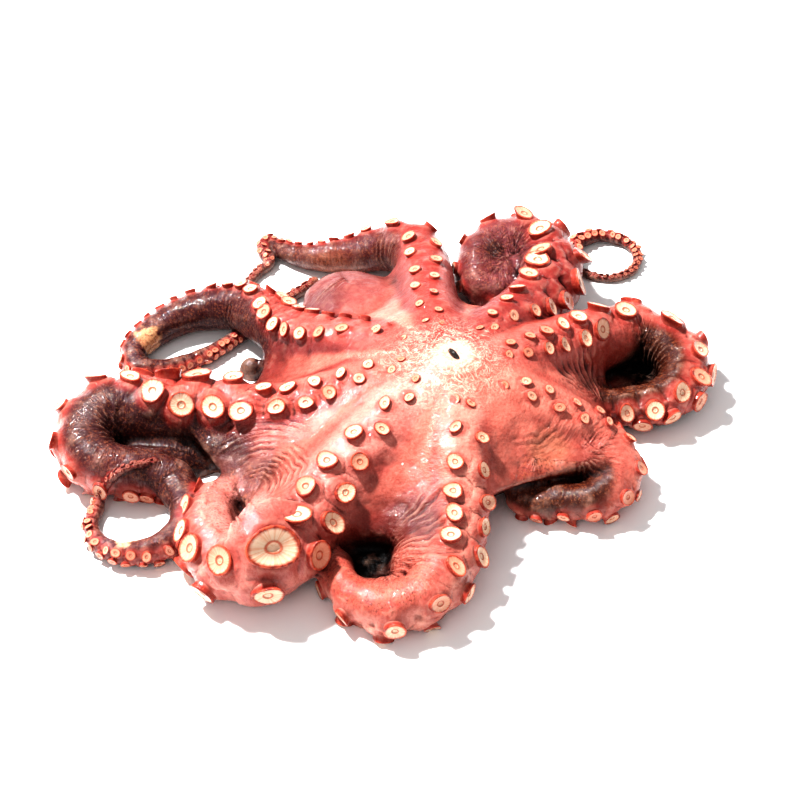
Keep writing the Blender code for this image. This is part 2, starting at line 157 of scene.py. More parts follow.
ARMS = {
    "back": Arm(20, 3.5, 0.5, 1.6, [
        (-5, 18, 41, 0), (-10, 50, 34, 0), (-14, 85, 26, 0), (-16, 125, 16, 0),
        (-18, 150, 9, 5), (-25, 172, 6, 25), (-42, 183, 2, 50), (-68, 182, 0, 60),
        (-98, 184, 0, 60), (-118, 195, 0, 50), (-131, 206, 0, 30), (-133, 194, 1, 10),
        (-128, 184, 1, 0), (-137, 173, 0, 0), (-143, 161, 0, 0)],
        (14, 22), [(0, 4, 15, -8, 26), (45, 7, 22, -4, 30), (90, 9.5, 30, -16, 22),
                   (140, 11, 28, -26, 32), (175, 11, 20, -30, 38), (215, 8, 10, -30, 30),
                   (336, 3, 5, -27, 27)]),
    "back_right": Arm(21, 3, 0.42, 2.2, [
        (9, 18, 37, 0), (26, 43, 31, 5), (43, 72, 22, 15), (60, 105, 12, 25),
        (71, 132, 7, 20), Arc(46, 157, 25, 0, 215, (5, 0), (15, 115)),
        (42, 142, 0, 110), (74, 158, 0, 40), (91, 183, 0, 0),
        Arc(116, 192, 24, 150, -150, (0, 0), (0, 0))],
        (20, 14), [(0, 5, 18, -5, 5), (30, 7.5, 18, -22, 10), (52, 9.5, 20, -30, 20),
                   (80, 13.5, 24, -38, 32), (110, 19, 26, -40, 38), (150, 20, 24, -42, 38),
                   (195, 14, 18, -30, 30), (240, 9, 11, -27, 27), (483, 3, 4, -27, 27)]),
    "right": Arm(22, 11, 0.4, 1.0, [
        (17, 8, 38, 10), (39, 20, 31, 20), (62, 38, 22, 25), (85, 60, 12, 18),
        (105, 74, 4, -5), Arc(123, 51, 32, 92, -95, (2, 0), (-28, -80)),
        (100, 20, 0, -95), (82, 23, 0, -100)],
        (12, 18), [(0, 5, 13, -17, 14), (40, 9.5, 14, -18, 15), (62, 12, 18, -20, 16),
                   (90, 14.5, 34, -26, 20), (140, 17, 34, -24, 24), (185, 16, 15, -22, 24),
                   (261, 12, 15, -22, 24)]),
    "front_right": Arm(19, 9, 0.35, 1.0, [
        (15, -5, 40, 10), (33, -10, 34, 18), (54, -14, 24, 18), (76, -20, 13, 5),
        Arc(79, -44, 24.5, 48, -120, (3, 0), (-45, -125)),
        (52, -67, 0, -130), (40, -61, 0, -130)],
        (14, 24), [(0, 5, 18, -18, 8), (30, 8, 18, -14, 14), (66, 7.5, 17, -16, 16),
                   (100, 9, 15, -20, 20), (130, 11, 16, -20, 20), (171, 9, 16, -20, 20)]),
    "front": Arm(19, 10, 0.5, 1.0, [
        (0, -17, 38, 0), (2, -37, 32, 0), (3, -56, 24, 0), (3, -76, 13, -5),
        (1, -96, 5, -18), (-3, -118, 1, -25), (-10, -138, 0, -60),
        (-24, -152, 0, -95), (-42, -157, 0, -112), (-58, -149, 0, -118), (-69, -134, 0, -122),
        (-71, -117, 0, -126)],
        (12, 16), [(0, 5, 22, -4, 18), (40, 10, 20, -9, 40), (85, 13, 18, -20, 40),
                   (125, 14, 18, -30, 30), (170, 14, 22, -15, 32), (223, 11, 20, -15, 30)]),
    "front_left": Arm(24, 10, 0.55, 1.0, [
        (-13, -9, 34, 0), (-30, -24, 26, 0), (-48, -42, 17, -5), (-67, -61, 9, -15),
        (-84, -83, 3, -25), (-96, -105, 0, -35), (-107, -124, 0, -50), (-123, -132, 0, -65),
        (-139, -122, 0, -80), (-148, -100, 0, -90), (-149, -76, 0, -90),
        (-141, -58, 0, -90), (-128, -62, 0, -90)],
        (9, 22), [(0, 5, 28, -4, 8), (36, 10, 27, -2, 20), (75, 12, 26, -12, 24),
                  (115, 15, 24, -28, 23), (150, 20, 19, -32, 28), (200, 18, 18, -34, 34),
                  (270, 10, 14, -30, 30)]),
    "left": Arm(23, 2, 0.42, 1.4, [
        (-17, 1, 35, 0), (-40, -1, 28, 0), (-65, -4, 19, 0), (-90, -7, 11, 0),
        (-116, -6, 4, 0), (-142, -1, 1, 0), (-167, 4, 0, 0), (-191, 4, 0, 25),
        Arc(-209, -20, 25, 100, 275, (0, 0), (60, 125)),
        (-188, -46, 0, 140), (-173, -51, 0, 180),
        Arc(-194, -77, 30, 45, -200, (0, 0), (220, 330)),
        (-219, -60, 9, 350), (-208, -59, 26, 360), (-196, -54, 29, 360), (-184, -47, 26, 360)],
        (12, 20), [(0, 5, 20, -10, 15), (45, 9, 18, 0, 22), (80, 11.5, 18, 2, 38),
                   (105, 14, 24, -8, 34), (135, 18, 25, -30, 36), (165, 18, 16, -20, 50),
                   (200, 15, 16, -30, 35), (260, 12, 14, -27, 27), (330, 9, 10, -27, 27),
                   (500, 3, 4, -27, 27)]),
    "back_left": Arm(19, 4, 0.36, 2.2, [
        (-16, 9, 40, 0), (-38, 26, 33, 0), (-62, 43, 24, 0), (-85, 60, 14, 0),
        (-106, 78, 6, 5), (-123, 98, 3, 20), (-139, 114, 1, 45), (-157, 119, 0, 60),
        (-177, 116, 0, 75), (-195, 106, 0, 85), (-208, 92, 0, 90), (-215, 76, 0, 90),
        (-210, 62, 0, 90), (-196, 63, 0, 90), (-177, 71, 0, 90), (-160, 85, 0, 60),
        (-144, 101, 0, 30), (-128, 122, 0, 0), (-113, 143, 0, 0), (-103, 154, 0, 0),
        (-95, 163, 0, 0)],
        (16, 20), [(0, 4, 18, -35, -10), (32, 7.5, 22, -42, -2), (58, 9, 18, -44, 12),
                   (75, 9.5, 15, -44, 28), (100, 10.5, 13, -35, 46), (125, 12, 12, -15, 46),
                   (150, 11, 13, -12, 40), (175, 9.5, 12, 0, 42), (215, 8, 10, -20, 35),
                   (300, 6, 7, -27, 27), (438, 3.5, 4, -27, 27)]),
}
ARC_STEP = 25.0          # degrees between the places that an arc is swept into
STATION_SPACING = 2.5    # between the rings that an arm is swept from
ROOT_RUN = 45.0          # an arm swells to its full girth over this length
ROOT_GIRTH = 0.82        # what share of its girth it starts with
print("arms:", ", ".join(ARMS))


# %% Routes become stations along each arm
def route_places(route):
    """Every place along a route, with its arcs swept into places."""
    places = []
    for item in route:
        if not isinstance(item, Arc):
            places.append(item)
            continue
        steps = max(2, round(abs(item.stop - item.start) / ARC_STEP))
        for step in range(steps + 1):
            share = step / steps
            angle = math.radians(item.start + (item.stop - item.start) * share)
            places.append((
                item.x + item.radius * math.cos(angle),
                item.y + item.radius * math.sin(angle),
                item.lift[0] + (item.lift[1] - item.lift[0]) * share,
                item.roll[0] + (item.roll[1] - item.roll[0]) * share))
    return np.array(places, dtype=float)


def smooth_curve(places, per_span=12):
    """A Catmull-Rom curve through the places."""
    padded = np.vstack([2 * places[0] - places[1], places, 2 * places[-1] - places[-2]])
    points = []
    for start in range(1, len(padded) - 2):
        before, here, there, after = padded[start - 1:start + 3]
        for step in range(per_span):
            t = step / per_span
            points.append(0.5 * (
                2 * here + (there - before) * t
                + (2 * before - 5 * here + 4 * there - after) * t ** 2
                + (3 * here - before - 3 * there + after) * t ** 3))
    points.append(padded[-2])
    return np.array(points)


class Limb:
    """An arm as stations along its middle: place, radius, and the way its suckers face."""

    def __init__(self, arm):
        curve = smooth_curve(route_places(arm.route))
        steps = np.linalg.norm(np.diff(curve[:, :3], axis=0), axis=1)
        travelled = np.concatenate([[0.0], np.cumsum(steps)])
        self.length = travelled[-1]
        self.along = np.linspace(0.0, self.length, int(self.length / STATION_SPACING) + 1)
        sampled = [np.interp(self.along, travelled, curve[:, k]) for k in range(4)]
        thinning = np.clip((self.along / self.length - arm.full) / (1 - arm.full), 0, 1)
        self.radius = arm.tip + (arm.girth - arm.tip) * (1 - thinning) ** arm.fade
        swelling = np.clip(self.along / ROOT_RUN, 0, 1)
        self.radius *= ROOT_GIRTH + (1 - ROOT_GIRTH) * swelling
        self.place = np.stack([
            sampled[0], sampled[1], np.maximum(sampled[2], 0) + self.radius], axis=1)
        forward = np.gradient(self.place, axis=0)
        self.forward = forward / np.linalg.norm(forward, axis=1)[:, None]
        right = np.cross(self.forward, (0, 0, 1))
        right /= np.linalg.norm(right, axis=1)[:, None]
        upward = np.cross(right, self.forward)
        self.roll = np.radians(sampled[3])
        self.facing = np.cos(self.roll)[:, None] * upward + np.sin(self.roll)[:, None] * right
        self.side = np.cross(self.facing, self.forward)
        bend = np.gradient(self.forward, axis=0) / np.gradient(self.along)[:, None]
        self.bend = np.stack([np.convolve(bend[:, k], np.ones(5) / 5, "same") for k in range(3)], 1)

    def at(self, distance):
        """The index of the station nearest to a distance along the arm."""
        return int(np.argmin(np.abs(self.along - distance)))


limbs = {name: Limb(arm) for name, arm in ARMS.items()}
print("arm lengths, mm:", {name: round(limb.length) for name, limb in limbs.items()})

# %% [markdown]
# ## Rough arms
# A curve with a section swept along it is the natural start for an arm: it takes a radius and a
# tilt at each point.  The section is a circle, flattened where the suckers sit.  Each sweep is
# then turned into a mesh, so that the forms can be grown together later.

# %% Sweep the arms
FLAT_UNDER_SUCKERS = 0.9   # the section's height on the sucker side, in radii
THIN_RADIUS = 6.5          # thinner stretches join the body after its first softening

alone(next(iter(frame["nodes"].values())))
bpy.ops.curve.primitive_bezier_circle_add(radius=1)
section = bpy.context.object
section.name = "section"
section.data.resolution_u = 5
for point in section.data.splines[0].bezier_points:
    if point.co.y > 0.5:
        point.co.y = FLAT_UNDER_SUCKERS
        point.handle_left.y = FLAT_UNDER_SUCKERS
        point.handle_right.y = FLAT_UNDER_SUCKERS


def sweep(name, limb, first, last, swell=1.0):
    """A mesh tube along a stretch of an arm, with a ball in each end."""
    bpy.ops.curve.primitive_nurbs_path_add()
    spine = bpy.context.object
    spine.name = name
    spine.data.splines.remove(spine.data.splines[0])
    spline = spine.data.splines.new("POLY")
    spline.points.add(last - first)
    for point, index in zip(spline.points, range(first, last + 1)):
        point.co = (*limb.place[index] * MM, 1)
        point.radius = limb.radius[index] * MM * swell
        point.tilt = limb.roll[index]
    spine.data.twist_mode = "Z_UP"
    spine.data.bevel_mode = "OBJECT"
    spine.data.bevel_object = section
    spine.data.use_fill_caps = True
    alone(spine)
    bpy.ops.object.convert(target="MESH")
    tube = bpy.context.object
    ends = []
    for index in (first, last):
        bpy.ops.mesh.primitive_uv_sphere_add(
            segments=24, ring_count=12, radius=limb.radius[index] * MM * swell * 0.97,
            location=limb.place[index] * MM)
        ends.append(bpy.context.object)
        bpy.ops.object.transform_apply(location=True, rotation=True, scale=True)
    return join([tube] + ends, name)


def thin_from(limb):
    """The first station of an arm's thin end, or None."""
    thin = np.nonzero((limb.radius < THIN_RADIUS) & (limb.along > ROOT_RUN))[0]
    return int(thin[0]) if len(thin) else None


stout_arms = []
thin_arms = []
for name, limb in limbs.items():
    thin = thin_from(limb)
    last = len(limb.along) - 1
    stout_arms.append(sweep("stout " + name, limb, 0, thin or last))
    if thin:
        thin_arms.append(sweep("thin " + name, limb, thin - 2, last))
print("stout arms:", len(stout_arms), "thin ends:", len(thin_arms))

# %% [markdown]
# ## Head, bag and the flesh inside each curl
# The head is a hidden lump under the arm roots, and the bag of the body shows between two back
# arms.  Where an arm curls round on itself, soft flesh is drawn together in the middle.  Balls,
# stretched to size, are enough, because the skin grown over them rounds everything off.

# %% Head, bag and mounds
MOUTH_HEIGHT = 78.0
HEAD_RADIUS = 60.0
HEAD_HEIGHT = 58.0
FLOOR_DEPTH = 4.0
Bag = namedtuple("Bag", "x y z length width height heading")
BAG = Bag(-51, 84, 22, 66, 42, 26, 124)
Mound = namedtuple("Mound", "x y length width height heading")
MOUNDS = [
    Mound(-188, -20, 40, 20, 20, 0),
    Mound(-38, -145, 33, 17, 24, 0),
    # The next three are low floors that close hollows over the table; dabs paint them near-black as
    # shade.
    Mound(-50, -114, 20, 20, 7, 0),
    Mound(125, 50, 30, 16, 10, 10),
    Mound(80, -44, 17, 15, 9, 0),
    Mound(-130, -84, 16, 26, 14, 0),
    Mound(42, 155, 24, 22, 33, 0),
    Mound(-19, -118, 22, 24, 32, 0),
    Mound(-134, 67, 10, 8, 14, 0),
]


def ball(name, middle, sizes, heading=0.0):
    """A ball stretched to three half-sizes and turned about Z."""
    bpy.ops.mesh.primitive_uv_sphere_add(
        segments=48, ring_count=24, radius=1, location=Vector(middle) * MM,
        rotation=(0, 0, math.radians(heading)), scale=Vector(sizes) * MM)
    bpy.ops.object.transform_apply(location=True, rotation=True, scale=True)
    bpy.context.object.name = name
    return bpy.context.object


lumps = [
    ball("head", (0, 0, MOUTH_HEIGHT - 3 - HEAD_HEIGHT), (HEAD_RADIUS, HEAD_RADIUS, HEAD_HEIGHT)),
    ball("bag", (BAG.x, BAG.y, BAG.z), (BAG.length, BAG.width, BAG.height), BAG.heading)]
for mound in MOUNDS:
    lumps.append(ball("mound", (mound.x, mound.y, 0),
                      (mound.length, mound.width, mound.height), mound.heading))
print("lumps:", len(lumps))

# %% [markdown]
# ## Webs
# A sheet of skin joins each arm to the next.  A grid is laid from arm to arm, pulled in at its
# free edge, let sag, and then extruded straight down, since nothing shows below it.

# %% Webs
Web = namedtuple("Web", "first second along_first along_second reach edge sag tuck")
WEBS = [
    Web("right", "back_right", 115, 110, 100, 16, 3, 0),
    Web("back_right", "back", 105, 130, 108, 20, 4, 0),
    Web("back", "back_left", 150, 112, 128, 31, 1, 0.1),
    Web("back_left", "left", 160, 158, 138, 12, 2, 0.1),
    Web("left", "front_left", 178, 158, 152, 20, 1, 0.1),
    Web("front_left", "front", 135, 125, 112, 22, 0, 0),
    Web("front", "front_right", 85, 118, 82, 29, 0, 0.45),
    Web("front_right", "right", 112, 115, 102, 20, 2, 0),
]
WEB_STEPS_OUT = 14
WEB_STEPS_ACROSS = 12
WEB_HEIGHT = 0.92


def web_point(web, ends, scoop, out, across, row):
    """One point of a web's top."""
    slack = math.sin(math.pi * across)
    point = ends[0][row] * (1 - across) + ends[1][row] * across
    point[:2] *= 1 - scoop * slack * out ** 1.5
    point[2] -= web.sag * slack * math.sin(math.pi * min(out, 0.5))
    point[2] += (web.edge - point[2]) * slack * out ** 3
    return point


def make_web(web):
    """A web's sheet, drawn down below the floor."""
    ends = []
    for limb, along in ((limbs[web.first], web.along_first), (limbs[web.second], web.along_second)):
        reach = [limb.at(10 + (along - 10) * k / WEB_STEPS_OUT) for k in range(WEB_STEPS_OUT + 1)]
        middle = limb.place[reach].copy()
        middle[:, 2] += WEB_HEIGHT * limb.radius[reach]
        ends.append(middle)
    chord = (ends[0][-1] + ends[1][-1]) / 2
    scoop = 1 - web.reach / math.hypot(chord[0], chord[1])
    bpy.ops.mesh.primitive_grid_add(
        x_subdivisions=WEB_STEPS_OUT, y_subdivisions=WEB_STEPS_ACROSS, size=1)
    sheet = bpy.context.object
    sheet.name = "web"
    pulls = []
    for vertex in sheet.data.vertices:
        out = vertex.co.x + 0.5
        across = vertex.co.y + 0.5
        row = round(out * WEB_STEPS_OUT)
        pulls.append(out ** 2 * math.sin(math.pi * across))
        vertex.co = Vector(web_point(web, ends, scoop, out, across, row)) * MM
    top_count = len(sheet.data.vertices)
    bpy.ops.object.mode_set(mode="EDIT")
    bpy.ops.mesh.select_all(action="SELECT")
    bpy.ops.mesh.extrude_region_move()
    bpy.ops.transform.resize(value=(1, 1, 0), center_override=(0, 0, -FLOOR_DEPTH * MM))
    bpy.ops.mesh.select_all(action="SELECT")
    bpy.ops.mesh.normals_make_consistent(inside=False)
    bpy.ops.object.mode_set(mode="OBJECT")
    for number, vertex in enumerate(sheet.data.vertices):
        if vertex.co.z < -FLOOR_DEPTH * MM * 0.9:
            pull = 1 - web.tuck * pulls[number % top_count]
            vertex.co.x *= pull
            vertex.co.y *= pull
    return sheet


webs = [make_web(web) for web in WEBS]
print("webs:", len(webs))

# %% [markdown]
# ## One soft body
# Muscle has no seams.  All the rough forms are joined and a voxel remesh grows one skin round
# them, which is then relaxed until the joins between arm and web are soft valleys.

# %% Grow the body
FIRST_VOXEL = 2.2
body = join(stout_arms + lumps + webs, "octopus_skin")
apply_step(body, "REMESH", mode="VOXEL", voxel_size=FIRST_VOXEL * MM)
apply_step(body, "SMOOTH", factor=0.5, iterations=12)
print("soft body:", len(body.data.vertices), "points")

# %% [markdown]
# ## Where the suckers sit
# Suckers stand in two staggered rows along every arm.  They are small round the mouth, largest
# mid-arm and fine at the tip, and each arm's list says how.  One sucker on the left front arm is
# far larger than the rest, as on a grown male.

# %% Sucker seats
SMALLEST = 1.4
SINK = 0.14                # how far small suckers are sunk in the skin, in diameters
SUNK_BELOW = 9.0           # suckers start to sink below this diameter
SUNK_FULLY = 5.0
Seat = namedtuple("Seat", "foot outwards forward size")
Giant = namedtuple("Giant", "arm row along size facing")
GIANT = Giant("front_left", 0, 156, 34, (0.1, -0.74, 0.66))


def flesh_radius(angle):
    """The arm's section, as a share of its radius, round from the sucker side."""
    return 1.0 - 0.10 * max(0.0, math.cos(angle)) ** 3 + 0.03 * math.cos(2 * angle + math.pi)


def sucker_seats(name, arm, limb):
    """Every sucker of an arm, row by row."""
    knots = np.array(arm.suckers, dtype=float)
    seats = []
    for row, start in enumerate(arm.starts):
        along = start
        while along < limb.length:
            size, step, *angles = (np.interp(along, knots[:, 0], knots[:, k]) for k in (1, 2, 3, 4))
            angle = math.radians(angles[row])
            index = limb.at(along)
            outwards = math.cos(angle) * limb.facing[index] + math.sin(angle) * limb.side[index]
            foot = limb.place[index] + outwards * limb.radius[index] * flesh_radius(angle)
            if name == GIANT.arm and row == GIANT.row and abs(along - GIANT.along) < step / 2:
                size = GIANT.size
                outwards = np.array(GIANT.facing)
            foot = foot - outwards * SINK * size * smooth_step(SUNK_BELOW, SUNK_FULLY, size)
            if size >= SMALLEST:
                seats.append(Seat(foot, outwards, limb.forward[index], size))
            along += step
    return seats


seats = [seat for name, arm in ARMS.items() for seat in sucker_seats(name, arm, limbs[name])]
print("suckers:", len(seats), "largest, mm:", round(max(seat.size for seat in seats), 1))

# %% [markdown]
# ## Copying one model many times
# What repeats is modelled once.  These helpers stand a copy of a small model on each seat, turned
# and scaled to its sucker, all in one mesh.  They are given the points of every copy, so that
# each copy can be bent out of true a little first.


# %% Helpers that copy a model onto seats
def read_points(thing, field="co"):
    """The places or the normals of a mesh's points, one row each."""
    values = np.zeros(len(thing.data.vertices) * 3)
    thing.data.vertices.foreach_get(field, values)
    return values.reshape(-1, 3)


def write_points(thing, points):
    """Move a mesh's points to places in millimetres, none of them below the table."""
    points[:, 2] = np.maximum(points[:, 2], 0)
    thing.data.vertices.foreach_set("co", (points * MM).ravel())
    thing.data.update()


def seat_axes(seat, turn):
    """Three axes of a seat: ahead, aside and outwards, turned about the last."""
    across = np.cross(seat.outwards, seat.forward)
    ahead = math.cos(turn) * seat.forward + math.sin(turn) * across
    return np.stack([ahead, np.cross(seat.outwards, ahead), seat.outwards])


def stand_copies(name, master, places, turns, local):
    """One mesh of a master's copies on seats, from the local points of all the copies."""
    count = len(master.data.vertices)
    faces = [tuple(face.vertices) for face in master.data.polygons]
    all_points = []
    all_faces = []
    for number, (seat, turn) in enumerate(zip(places, turns)):
        shift = number * count
        points = local[shift:shift + count] * seat.size
        all_points.append(seat.foot + points @ seat_axes(seat, turn))
        all_faces.extend(tuple(k + shift for k in face) for face in faces)
    mesh = bpy.data.meshes.new(name)
    mesh.from_pydata((np.vstack(all_points) * MM).tolist(), [], all_faces)
    mesh.update()
    thing = bpy.data.objects.new(name, mesh)
    scene.collection.objects.link(thing)
    return thing


# %% [markdown]
# ## Stalks under the suckers, and the lips
# Each sucker stands on a short stalk of flesh that widens into the arm.  Cones under the seats,
# grown into the skin, give that.  Three rings round the mouth make its puckered lips.

# %% Stalks and lips
# Radii of the stalk and the heights of its two ends, in sucker diameters.
STALK_FOOT = 0.92
STALK_TOP = 0.47
STALK_FROM = -0.25
STALK_TO = 0.12
SMALLEST_STALKED = 3.0

bpy.ops.mesh.primitive_cone_add(
    vertices=12, radius1=STALK_FOOT, radius2=STALK_TOP, depth=STALK_TO - STALK_FROM,
    location=(0, 0, (STALK_TO + STALK_FROM) / 2))
stalk = bpy.context.object
bpy.ops.object.transform_apply(location=True, rotation=True, scale=True)
stalked = [seat for seat in seats if seat.size > SMALLEST_STALKED]
local = np.tile(read_points(stalk), (len(stalked), 1))
stalks = stand_copies("stalks", stalk, stalked, np.zeros(len(stalked)), local)
bpy.data.objects.remove(stalk)

# Radius, thickness and rise over LIP_TOP of each ring.
LIP_RINGS = ((8.2, 1.6, 0.8), (12.4, 1.4, 0.0), (17.0, 1.5, -1.5))
LIP_TOP = 74.6
lips = []
for radius, thickness, rise in LIP_RINGS:
    bpy.ops.mesh.primitive_torus_add(
        major_radius=radius * MM, minor_radius=thickness * MM, major_segments=48,
        minor_segments=12, location=(0, 0, (LIP_TOP + rise - thickness * 0.6) * MM))
    bpy.ops.object.transform_apply(location=True, rotation=True, scale=True)
    lips.append(bpy.context.object)

SKIN_VOXEL = 1.5
body = join([body, stalks] + thin_arms + lips, "octopus_skin")
apply_step(body, "REMESH", mode="VOXEL", voxel_size=SKIN_VOXEL * MM)
apply_step(body, "SMOOTH", factor=0.5, iterations=4)
print("skin with stalks:", len(body.data.vertices), "points")


# %% [markdown]
# ## Reading the skin in arm terms
# Wrinkles and colours follow the arms, so every point of the skin is told which arm it belongs
# to, how far along it lies, how far round from the sucker side, and how deep it sits inside a
# bend, where the skin is squeezed into folds.

# %% Arm coordinates for every point
PART_SIZE = 20000


def parts_of(points):
    """Slices of a long list of points, small enough to compare with every station at once."""
    return [slice(start, start + PART_SIZE) for start in range(0, len(points), PART_SIZE)]


def distances(points, places):
    """How far each point lies from each place."""
    square = ((points ** 2).sum(1)[:, None] + (places ** 2).sum(1)[None] - 2 * points @ places.T)
    return np.sqrt(np.maximum(square, 0))


def arm_terms(points):
    """For each arm and point: gap to the arm's side, length along, angle round, squeeze."""
    gap, along, angle, squeeze = (np.zeros((len(limbs), len(points))) for _ in range(4))
    for number, limb in enumerate(limbs.values()):
        for part in parts_of(points):
            here = points[part]
            reach = distances(here, limb.place) - limb.radius[None]
            nearest = np.argmin(reach, axis=1)
            offset = here - limb.place[nearest]
            ahead = (offset * limb.forward[nearest]).sum(1)
            gap[number, part] = reach[np.arange(len(here)), nearest]
            along[number, part] = limb.along[nearest] + ahead
            angle[number, part] = np.arctan2(
                (offset * limb.side[nearest]).sum(1), (offset * limb.facing[nearest]).sum(1))
            squeeze[number, part] = (offset * limb.bend[nearest]).sum(1)
    return gap, along, angle, squeeze


def ripple(points, size, seed):
    """Soft random swells of about the given size, from -1 to 1."""
    random = np.random.default_rng(seed)
    total = np.zeros(len(points))
    waves = 14
    for _ in range(waves):
        direction = random.normal(size=3)
        direction /= np.linalg.norm(direction)
        stretch = 2 * math.pi / (size * random.uniform(0.7, 1.5))
        total += np.sin(points @ direction * stretch + random.uniform(0, 2 * math.pi))
    return total / math.sqrt(waves / 2) / 1.6


print("points are compared in parts of", PART_SIZE)

# %% [markdown]
# ## How near the next sucker is
# The skin dips between crowded suckers, and round each foot it is red and darkened as painted
# shade.  Both need, for every point of the skin, the distance to the nearest sucker in its
# diameters, and how close it is to lying half way between two of them.


# %% Distance to the suckers
SMALLEST_FELT = 2.5        # smaller suckers leave no mark on the skin


def sucker_terms(points):
    """Distance to the nearest sucker in its diameters, and the lead over the next nearest."""
    big = [seat for seat in seats if seat.size > SMALLEST_FELT]
    feet = np.array([seat.foot for seat in big])
    sizes = np.array([seat.size for seat in big])
    near, lead = np.zeros(len(points)), np.zeros(len(points))
    for part in parts_of(points):
        share = np.partition(distances(points[part], feet) / sizes[None], 1, axis=1)
        near[part] = share[:, 0]
        lead[part] = share[:, 1] - share[:, 0]
    return near, lead


print("suckers that the skin feels:", sum(seat.size > SMALLEST_FELT for seat in seats))

# %% [markdown]
# ## Folds in the skin
# The inside of every bend is squeezed into folds across the arm.  Where a web is gathered round a
# hollow, fine creases run out from a middle like a fan, or round it like rings.  Seams part the
# crowded suckers, and the whole skin is a little uneven.  All of it is pushed along the skin's
# normals, which is what sculpting by hand would do.

# %% Push folds into the skin
FOLD_SPACING = 7.0
FOLD_DEPTH = 0.5
UNEVEN = 0.4
SEAM_DEPTH = 0.7
# A patch of creases round a middle: fans run out from it, rings run round it.  Each has an
# inner and an outer reach, the headings it lies between in degrees, a spacing and a depth.
# The spacing of a fan is measured FAN_RADIUS away from its middle.  No patch reaches further
# than CREASE_RISE above or below its middle.
Creases = namedtuple("Creases", "kind x y z inner reach start stop spacing depth")
FAN_RADIUS = 25.0
CREASE_RISE = 34.0
CREASES = [
    Creases("fan", -48, -114, 26, 4, 64, -50, 62, 4.2, 0.8),
    Creases("fan", 100, 2, 24, 6, 66, 92, 178, 4.0, 1.0),
    Creases("rings", -124, -72, 24, 7, 46, -50, 125, 3.8, 1.0),
    Creases("rings", -124, -72, 30, 36, 70, 45, 130, 4.4, 0.7),
    Creases("rings", 10, 25, 34, 72, 108, -72, -34, 3.8, 0.5),
    Creases("fan", 76, -46, 24, 4, 34, -60, 80, 3.6, 0.6),
    Creases("fan", -134, 67, 18, 6, 46, -30, 80, 4.6, 0.4),
    Creases("fan", 30, 163, 36, 3, 18, -180, 180, 4.0, 0.2),
]


def crease_terms(points, creases):
    """Strength of one patch at each point, and the distances along and across its lines."""
    offset = points - (creases.x, creases.y, creases.z)
    away = np.hypot(offset[:, 0], offset[:, 1])
    middle, half = (creases.start + creases.stop) / 2, (creases.stop - creases.start) / 2
    heading = (np.degrees(np.arctan2(offset[:, 1], offset[:, 0])) - middle + 180) % 360 - 180
    mask = smooth_step(half + 1, half * 0.6, np.abs(heading)) if half < 180 else 1.0
    mask = mask * (smooth_step(creases.inner, creases.inner + 5, away)
                   * smooth_step(creases.reach, creases.reach * 0.6, away)
                   * smooth_step(CREASE_RISE, 20, np.abs(offset[:, 2])))
    round_by = np.radians(heading) * FAN_RADIUS
    return (mask, away, round_by) if creases.kind == "fan" else (mask, round_by, away)


def crease_push(points, creases, wander):
    """How far one patch of creases pushes each point out."""
    mask, ahead, aside = crease_terms(points, creases)
    wave = np.sin(2 * math.pi * (aside + 1.6 * wander) / creases.spacing)
    broken = 0.6 + 0.4 * ripple(points, 16, 17)
    return creases.depth * mask * broken * (wave - 0.35 * np.abs(wave))


points = read_points(body) / MM
normals = read_points(body, "normal")
gap, along, angle, squeeze = arm_terms(points)
owner = np.argmin(gap, axis=0)
pick = np.arange(len(points))
run, turn, pinch = along[owner, pick], angle[owner, pick], squeeze[owner, pick]
wander = 0.6 * ripple(points, 22, 3) + 0.4 * ripple(points, 9, 4)
fold = np.sin(2 * math.pi * (run + 3.0 * wander) / FOLD_SPACING + 2 * np.sin(turn * 2))
push = FOLD_DEPTH * smooth_step(0.18, 0.55, pinch) * fold
for creases in CREASES:
    push += crease_push(points, creases, wander)

from_mouth = np.hypot(points[:, 0], points[:, 1])
near, lead = sucker_terms(points)
push -= SEAM_DEPTH * smooth_step(0.20, 0.0, lead) * smooth_step(1.2, 0.75, near)
push += UNEVEN * ripple(points, 16, 5) * smooth_step(14, 30, from_mouth)
push += 0.10 * ripple(points, 5.5, 8) * smooth_step(24, 50, from_mouth)
write_points(body, points + normals * push[:, None])
print("creased", len(points), "points")

# %% [markdown]
# ## Fewer faces where the skin is smooth
# The voxels are as fine between the arms as they are round a sucker.  Decimating keeps the faces
# where the skin bends and lets go of the rest.

# %% Thin the mesh out
SKIN_FACES = 190000
apply_step(body, "DECIMATE", ratio=min(1.0, SKIN_FACES / triangle_count(body)))
alone(body)
bpy.ops.object.shade_smooth()
print("skin triangles:", triangle_count(body))

# %% [markdown]
# ## The colours of each arm
# The sucker side is salmon pink, the flank redder, and the outer skin dark purple or brown.  A
# dress names these four swatches for each arm: sucker side, flank, outer skin, and thin end.
# One gradient over the whole animal couldn't follow the arms round their curls, so each point
# takes its colour from its place on its nearest arms, blended so that no border shows.

# %% Dresses of the arms
Dress = namedtuple("Dress", "oral flank outer tip")
DRESSES = {
    "back": Dress((184, 82, 74), (160, 72, 68), (116, 54, 50), (84, 38, 40)),
    "back_right": Dress((172, 76, 70), (160, 76, 72), (136, 70, 74), (80, 36, 38)),
    "right": Dress((216, 118, 106), (186, 84, 72), (86, 40, 28), (92, 44, 30)),
    "front_right": Dress((236, 140, 122), (212, 116, 102), (92, 42, 30), (86, 38, 28)),
    "front": Dress((244, 164, 146), (208, 114, 102), (206, 106, 92), (204, 104, 90)),
    "front_left": Dress((244, 160, 146), (210, 118, 106), (238, 158, 146), (216, 122, 114)),
    "left": Dress((226, 124, 110), (166, 72, 66), (84, 44, 46), (112, 52, 52)),
    "back_left": Dress((204, 106, 96), (142, 62, 60), (84, 38, 42), (84, 38, 40)),
}
WEB_UPPER = (238, 142, 124)
# The lower swatch is painted shade, where the web nears the table.
WEB_SHADED_LOWER = (150, 62, 54)
BLEND_REACH = 3.0          # how softly the colours of two arms blend
